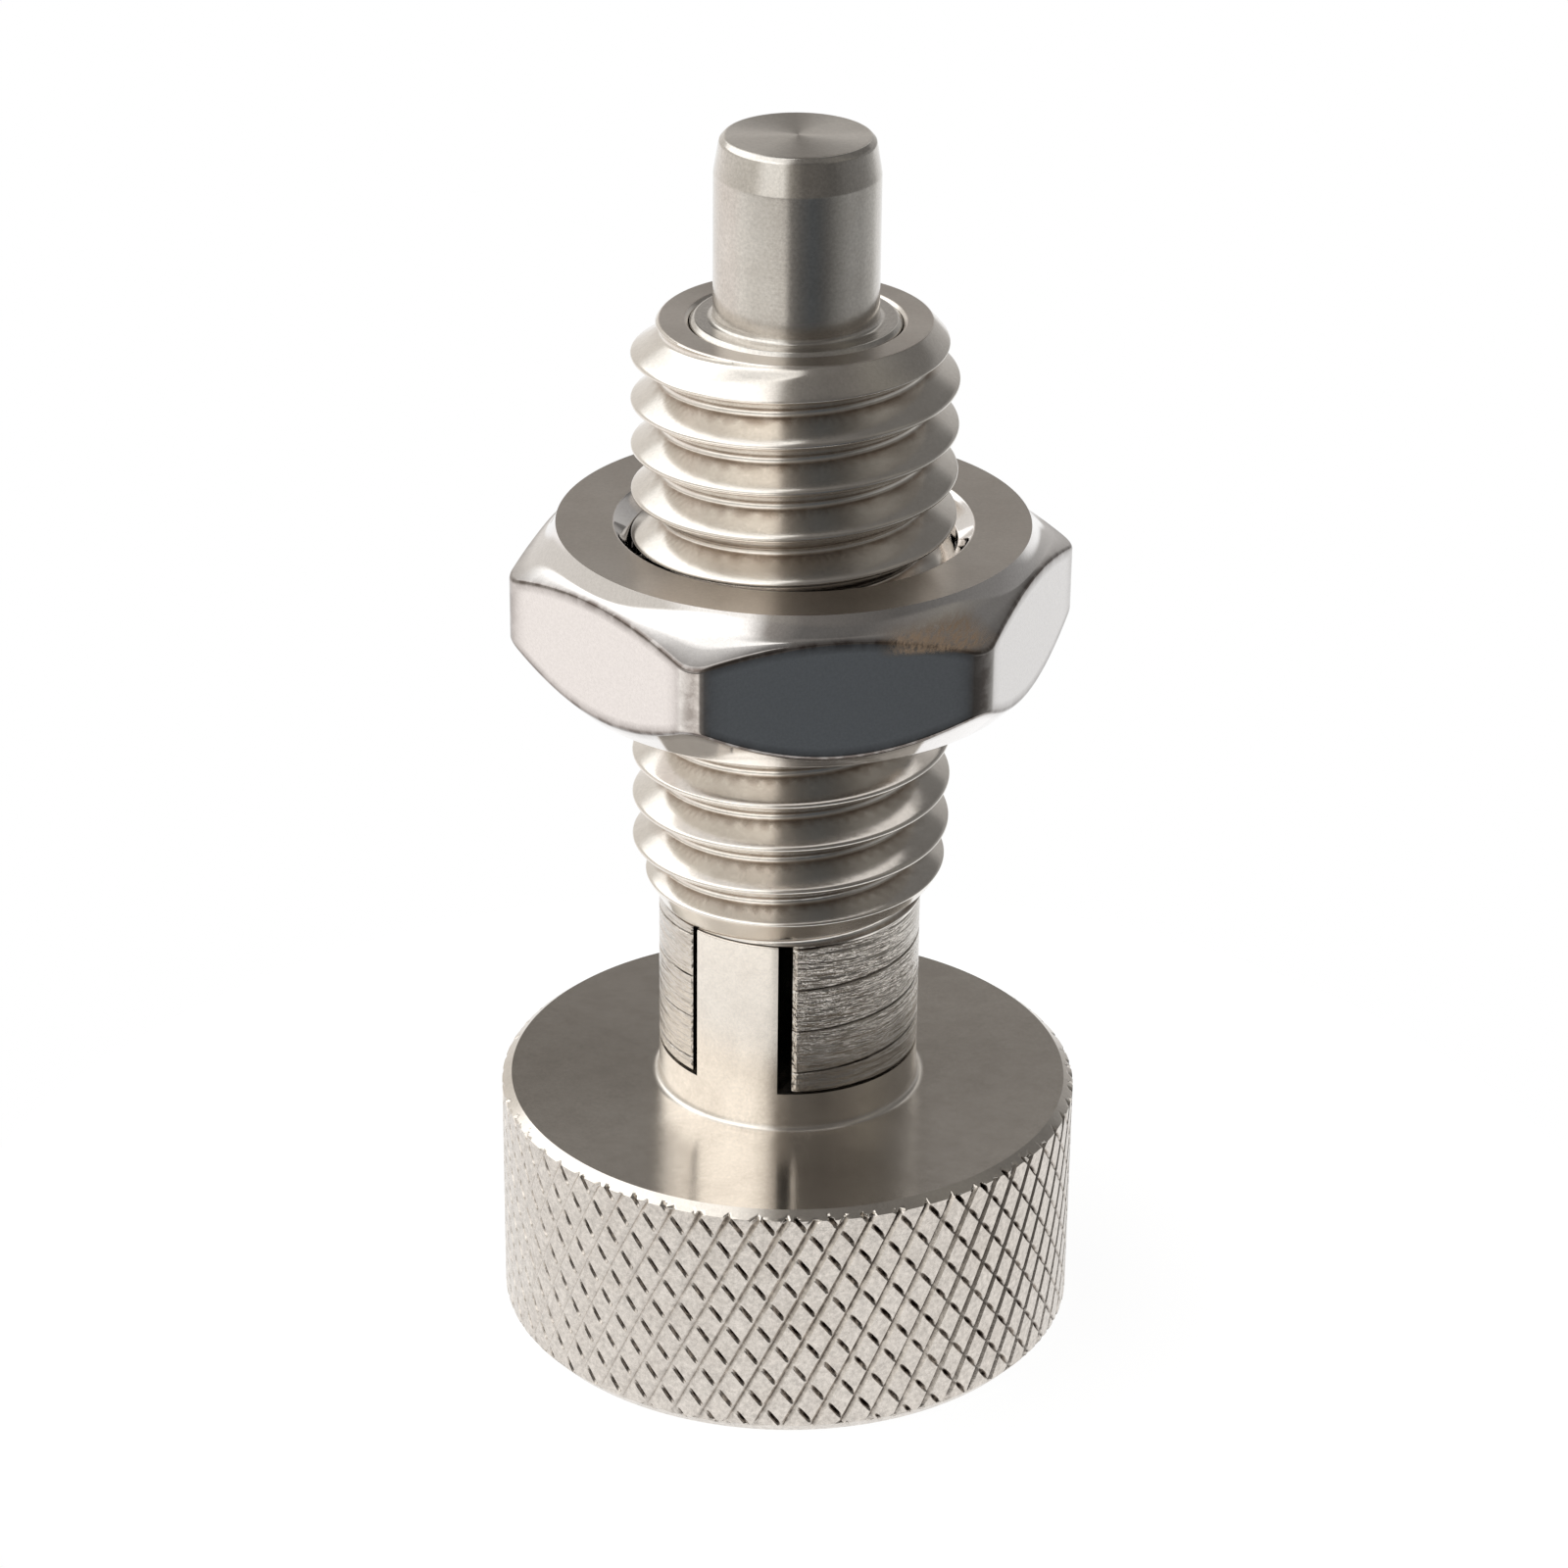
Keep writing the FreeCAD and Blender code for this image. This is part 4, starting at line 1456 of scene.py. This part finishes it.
    def build(self) -> None:
        """Make the world: the bands' light, and plain white for the camera.

        Metal that looks away from the camera sees that white too, low behind the plunger.
        """
        world = bpy.data.worlds.new("studio")
        bpy.context.scene.world = world
        tree = empty_tree(world)
        place = add_node(tree, "TexCoord", {}).outputs["Generated"]
        facing = {"Vector": place, "Angle": -math.radians(self.bearing)}
        turned = add_node(tree, "VectorRotate", facing, rotation_type="Z_AXIS").outputs[0]
        x, y, z = add_node(tree, "SeparateXYZ", {0: turned}).outputs
        toward = add_node(tree, "Math", {0: y, 1: -1.0}, operation="MULTIPLY").outputs[0]
        azimuth = add_node(tree, "Math", {0: x, 1: toward}, operation="ARCTAN2").outputs[0]
        part = {0: azimuth, 1: 1 / TURN, 2: 0.5}
        share = add_node(tree, "Math", part, operation="MULTIPLY_ADD").outputs[0]
        elevation = add_node(tree, "Math", {0: z}, operation="ARCSINE").outputs[0]
        light, *above, behind = self.colours(tree, share)
        *rises, below = self.shares(tree, elevation)
        for colour, rise in zip(above, rises):
            layers = {"Factor": rise, 4: light, 5: colour}
            light = add_node(tree, "Mix", layers, data_type="VECTOR").outputs[1]
        backdrop = add_node(tree, "Math", {0: behind, 1: below}, operation="MULTIPLY").outputs[0]
        ray = add_node(tree, "LightPath", {}).outputs
        kinds = {0: ray["Is Glossy Ray"], 1: ray["Is Transmission Ray"]}
        mirrored = add_node(tree, "Math", kinds, operation="ADD").outputs[0]
        seen = {0: mirrored, 1: backdrop, 2: ray["Is Camera Ray"]}
        white = add_node(tree, "Math", seen, operation="MULTIPLY_ADD", use_clamp=True).outputs[0]
        layers = {"Factor": white, 4: light, 5: WHITE[:3]}
        shown = add_node(tree, "Mix", layers, data_type="VECTOR").outputs[1]
        background = add_node(tree, "Background", {"Color": shown, "Strength": 1.0})
        add_node(tree, "OutputWorld", {"Surface": background.outputs[0]})


@dataclass(frozen=True)
class Studio:
    """Floor, light and camera at the photograph's angle."""

    lens: float = 105.75
    sensor: float = 36.0
    distance: float = 155.885
    height: float = 97.339
    bearing: float = 22.7
    yaw: float = 0.0944
    pitch: float = 25.849
    roll: float = 0.604
    near: float = 0.005
    far: float = 20.0
    floor_middle: float = 12.0
    floor_radius: float = 34.0
    floor_columns: int = 96
    floor_glow: tuple[float, float] = (0.95, 0.985)
    floor_colour: tuple[float, float, float, float] = (0.12, 0.12, 0.12, 1.0)

    def camera(self) -> None:
        """Set the camera where the photograph was taken from."""
        data = bpy.data.cameras.new("camera")
        data.lens = self.lens
        data.sensor_width = self.sensor
        data.sensor_height = self.sensor
        data.sensor_fit = "HORIZONTAL"
        data.clip_start = self.near
        data.clip_end = self.far
        camera = bpy.data.objects.new("camera", data)
        bearing = math.radians(self.bearing)
        away = (self.distance * math.sin(bearing), -self.distance * math.cos(bearing), self.height)
        place = Matrix.Translation([length * MILLIMETRE for length in away])
        aim = (
            Matrix.Rotation(bearing + math.radians(self.yaw), 4, "Z")
            @ Matrix.Rotation(math.radians(90.0 - self.pitch), 4, "X")
            @ Matrix.Rotation(math.radians(self.roll), 4, "Z")
        )
        camera.matrix_world = place @ aim
        bpy.context.scene.collection.objects.link(camera)
        bpy.context.scene.camera = camera

    def table(self) -> Material:
        """White table top: it takes a faint shadow, and its glow fades into the white around.

        Returns:
            Its material.
        """
        material = bpy.data.materials.new("white_table")
        tree = empty_tree(material)
        place = add_node(tree, "TexCoord", {}).outputs["Object"]
        away = add_node(tree, "VectorMath", {0: place}, operation="LENGTH").outputs["Value"]
        inner, outer = self.floor_glow
        spread = {
            "Value": away,
            "From Min": self.floor_middle * MILLIMETRE,
            "From Max": self.floor_radius * MILLIMETRE,
            "To Min": inner,
            "To Max": outer,
        }
        glow = add_node(tree, "MapRange", spread, interpolation_type="SMOOTHSTEP").outputs[0]
        matte = add_node(tree, "BsdfDiffuse", {"Color": self.floor_colour}).outputs[0]
        ray = add_node(tree, "LightPath", {}).outputs
        seen = ray["Is Camera Ray"]
        for kind in ("Is Glossy Ray", "Is Transmission Ray"):
            seen = add_node(tree, "Math", {0: seen, 1: ray[kind]}, operation="MAXIMUM").outputs[0]
        strength = add_node(tree, "Math", {0: glow, 1: seen}, operation="MULTIPLY").outputs[0]
        lit = add_node(tree, "Emission", {"Color": WHITE, "Strength": strength}).outputs[0]
        both = add_node(tree, "AddShader", {0: matte, 1: lit})
        add_node(tree, "OutputMaterial", {"Surface": both.outputs[0]})
        return material

    def floor(self) -> None:
        """A round white table top, which fades into the white around it."""
        profile = np.array([[0.0, 0.0], [self.floor_middle, 0.0], [self.floor_radius, 0.0]])
        shell = Shell()
        shell.add_grid(spun(profile, full_turn(self.floor_columns)))
        shell.build("floor", self.table())

    def build(self) -> None:
        """Set up the whole studio."""
        self.camera()
        self.floor()
        Sky(self.bearing).build()
        bpy.context.scene.view_settings.view_transform = "Standard"


def main() -> None:
    """Dress the frame and set up the studio."""
    logging.basicConfig(level=logging.INFO)
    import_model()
    stack = Stack()
    finishes = steel_finishes()
    ThreadedSleeve(stack).dress(finishes["cut"], finishes["rough"], finishes["satin"])
    PlungerPin(stack).dress(finishes["ground"], finishes["end"])
    KnurledKnob(stack).dress(finishes["knurled"], finishes["faced"])
    LockNut(stack).dress(finishes["polished"], finishes["satin"])
    CoilSpring().dress(finishes["drawn"])
    Studio().build()


if __name__ == "__main__":
    main()
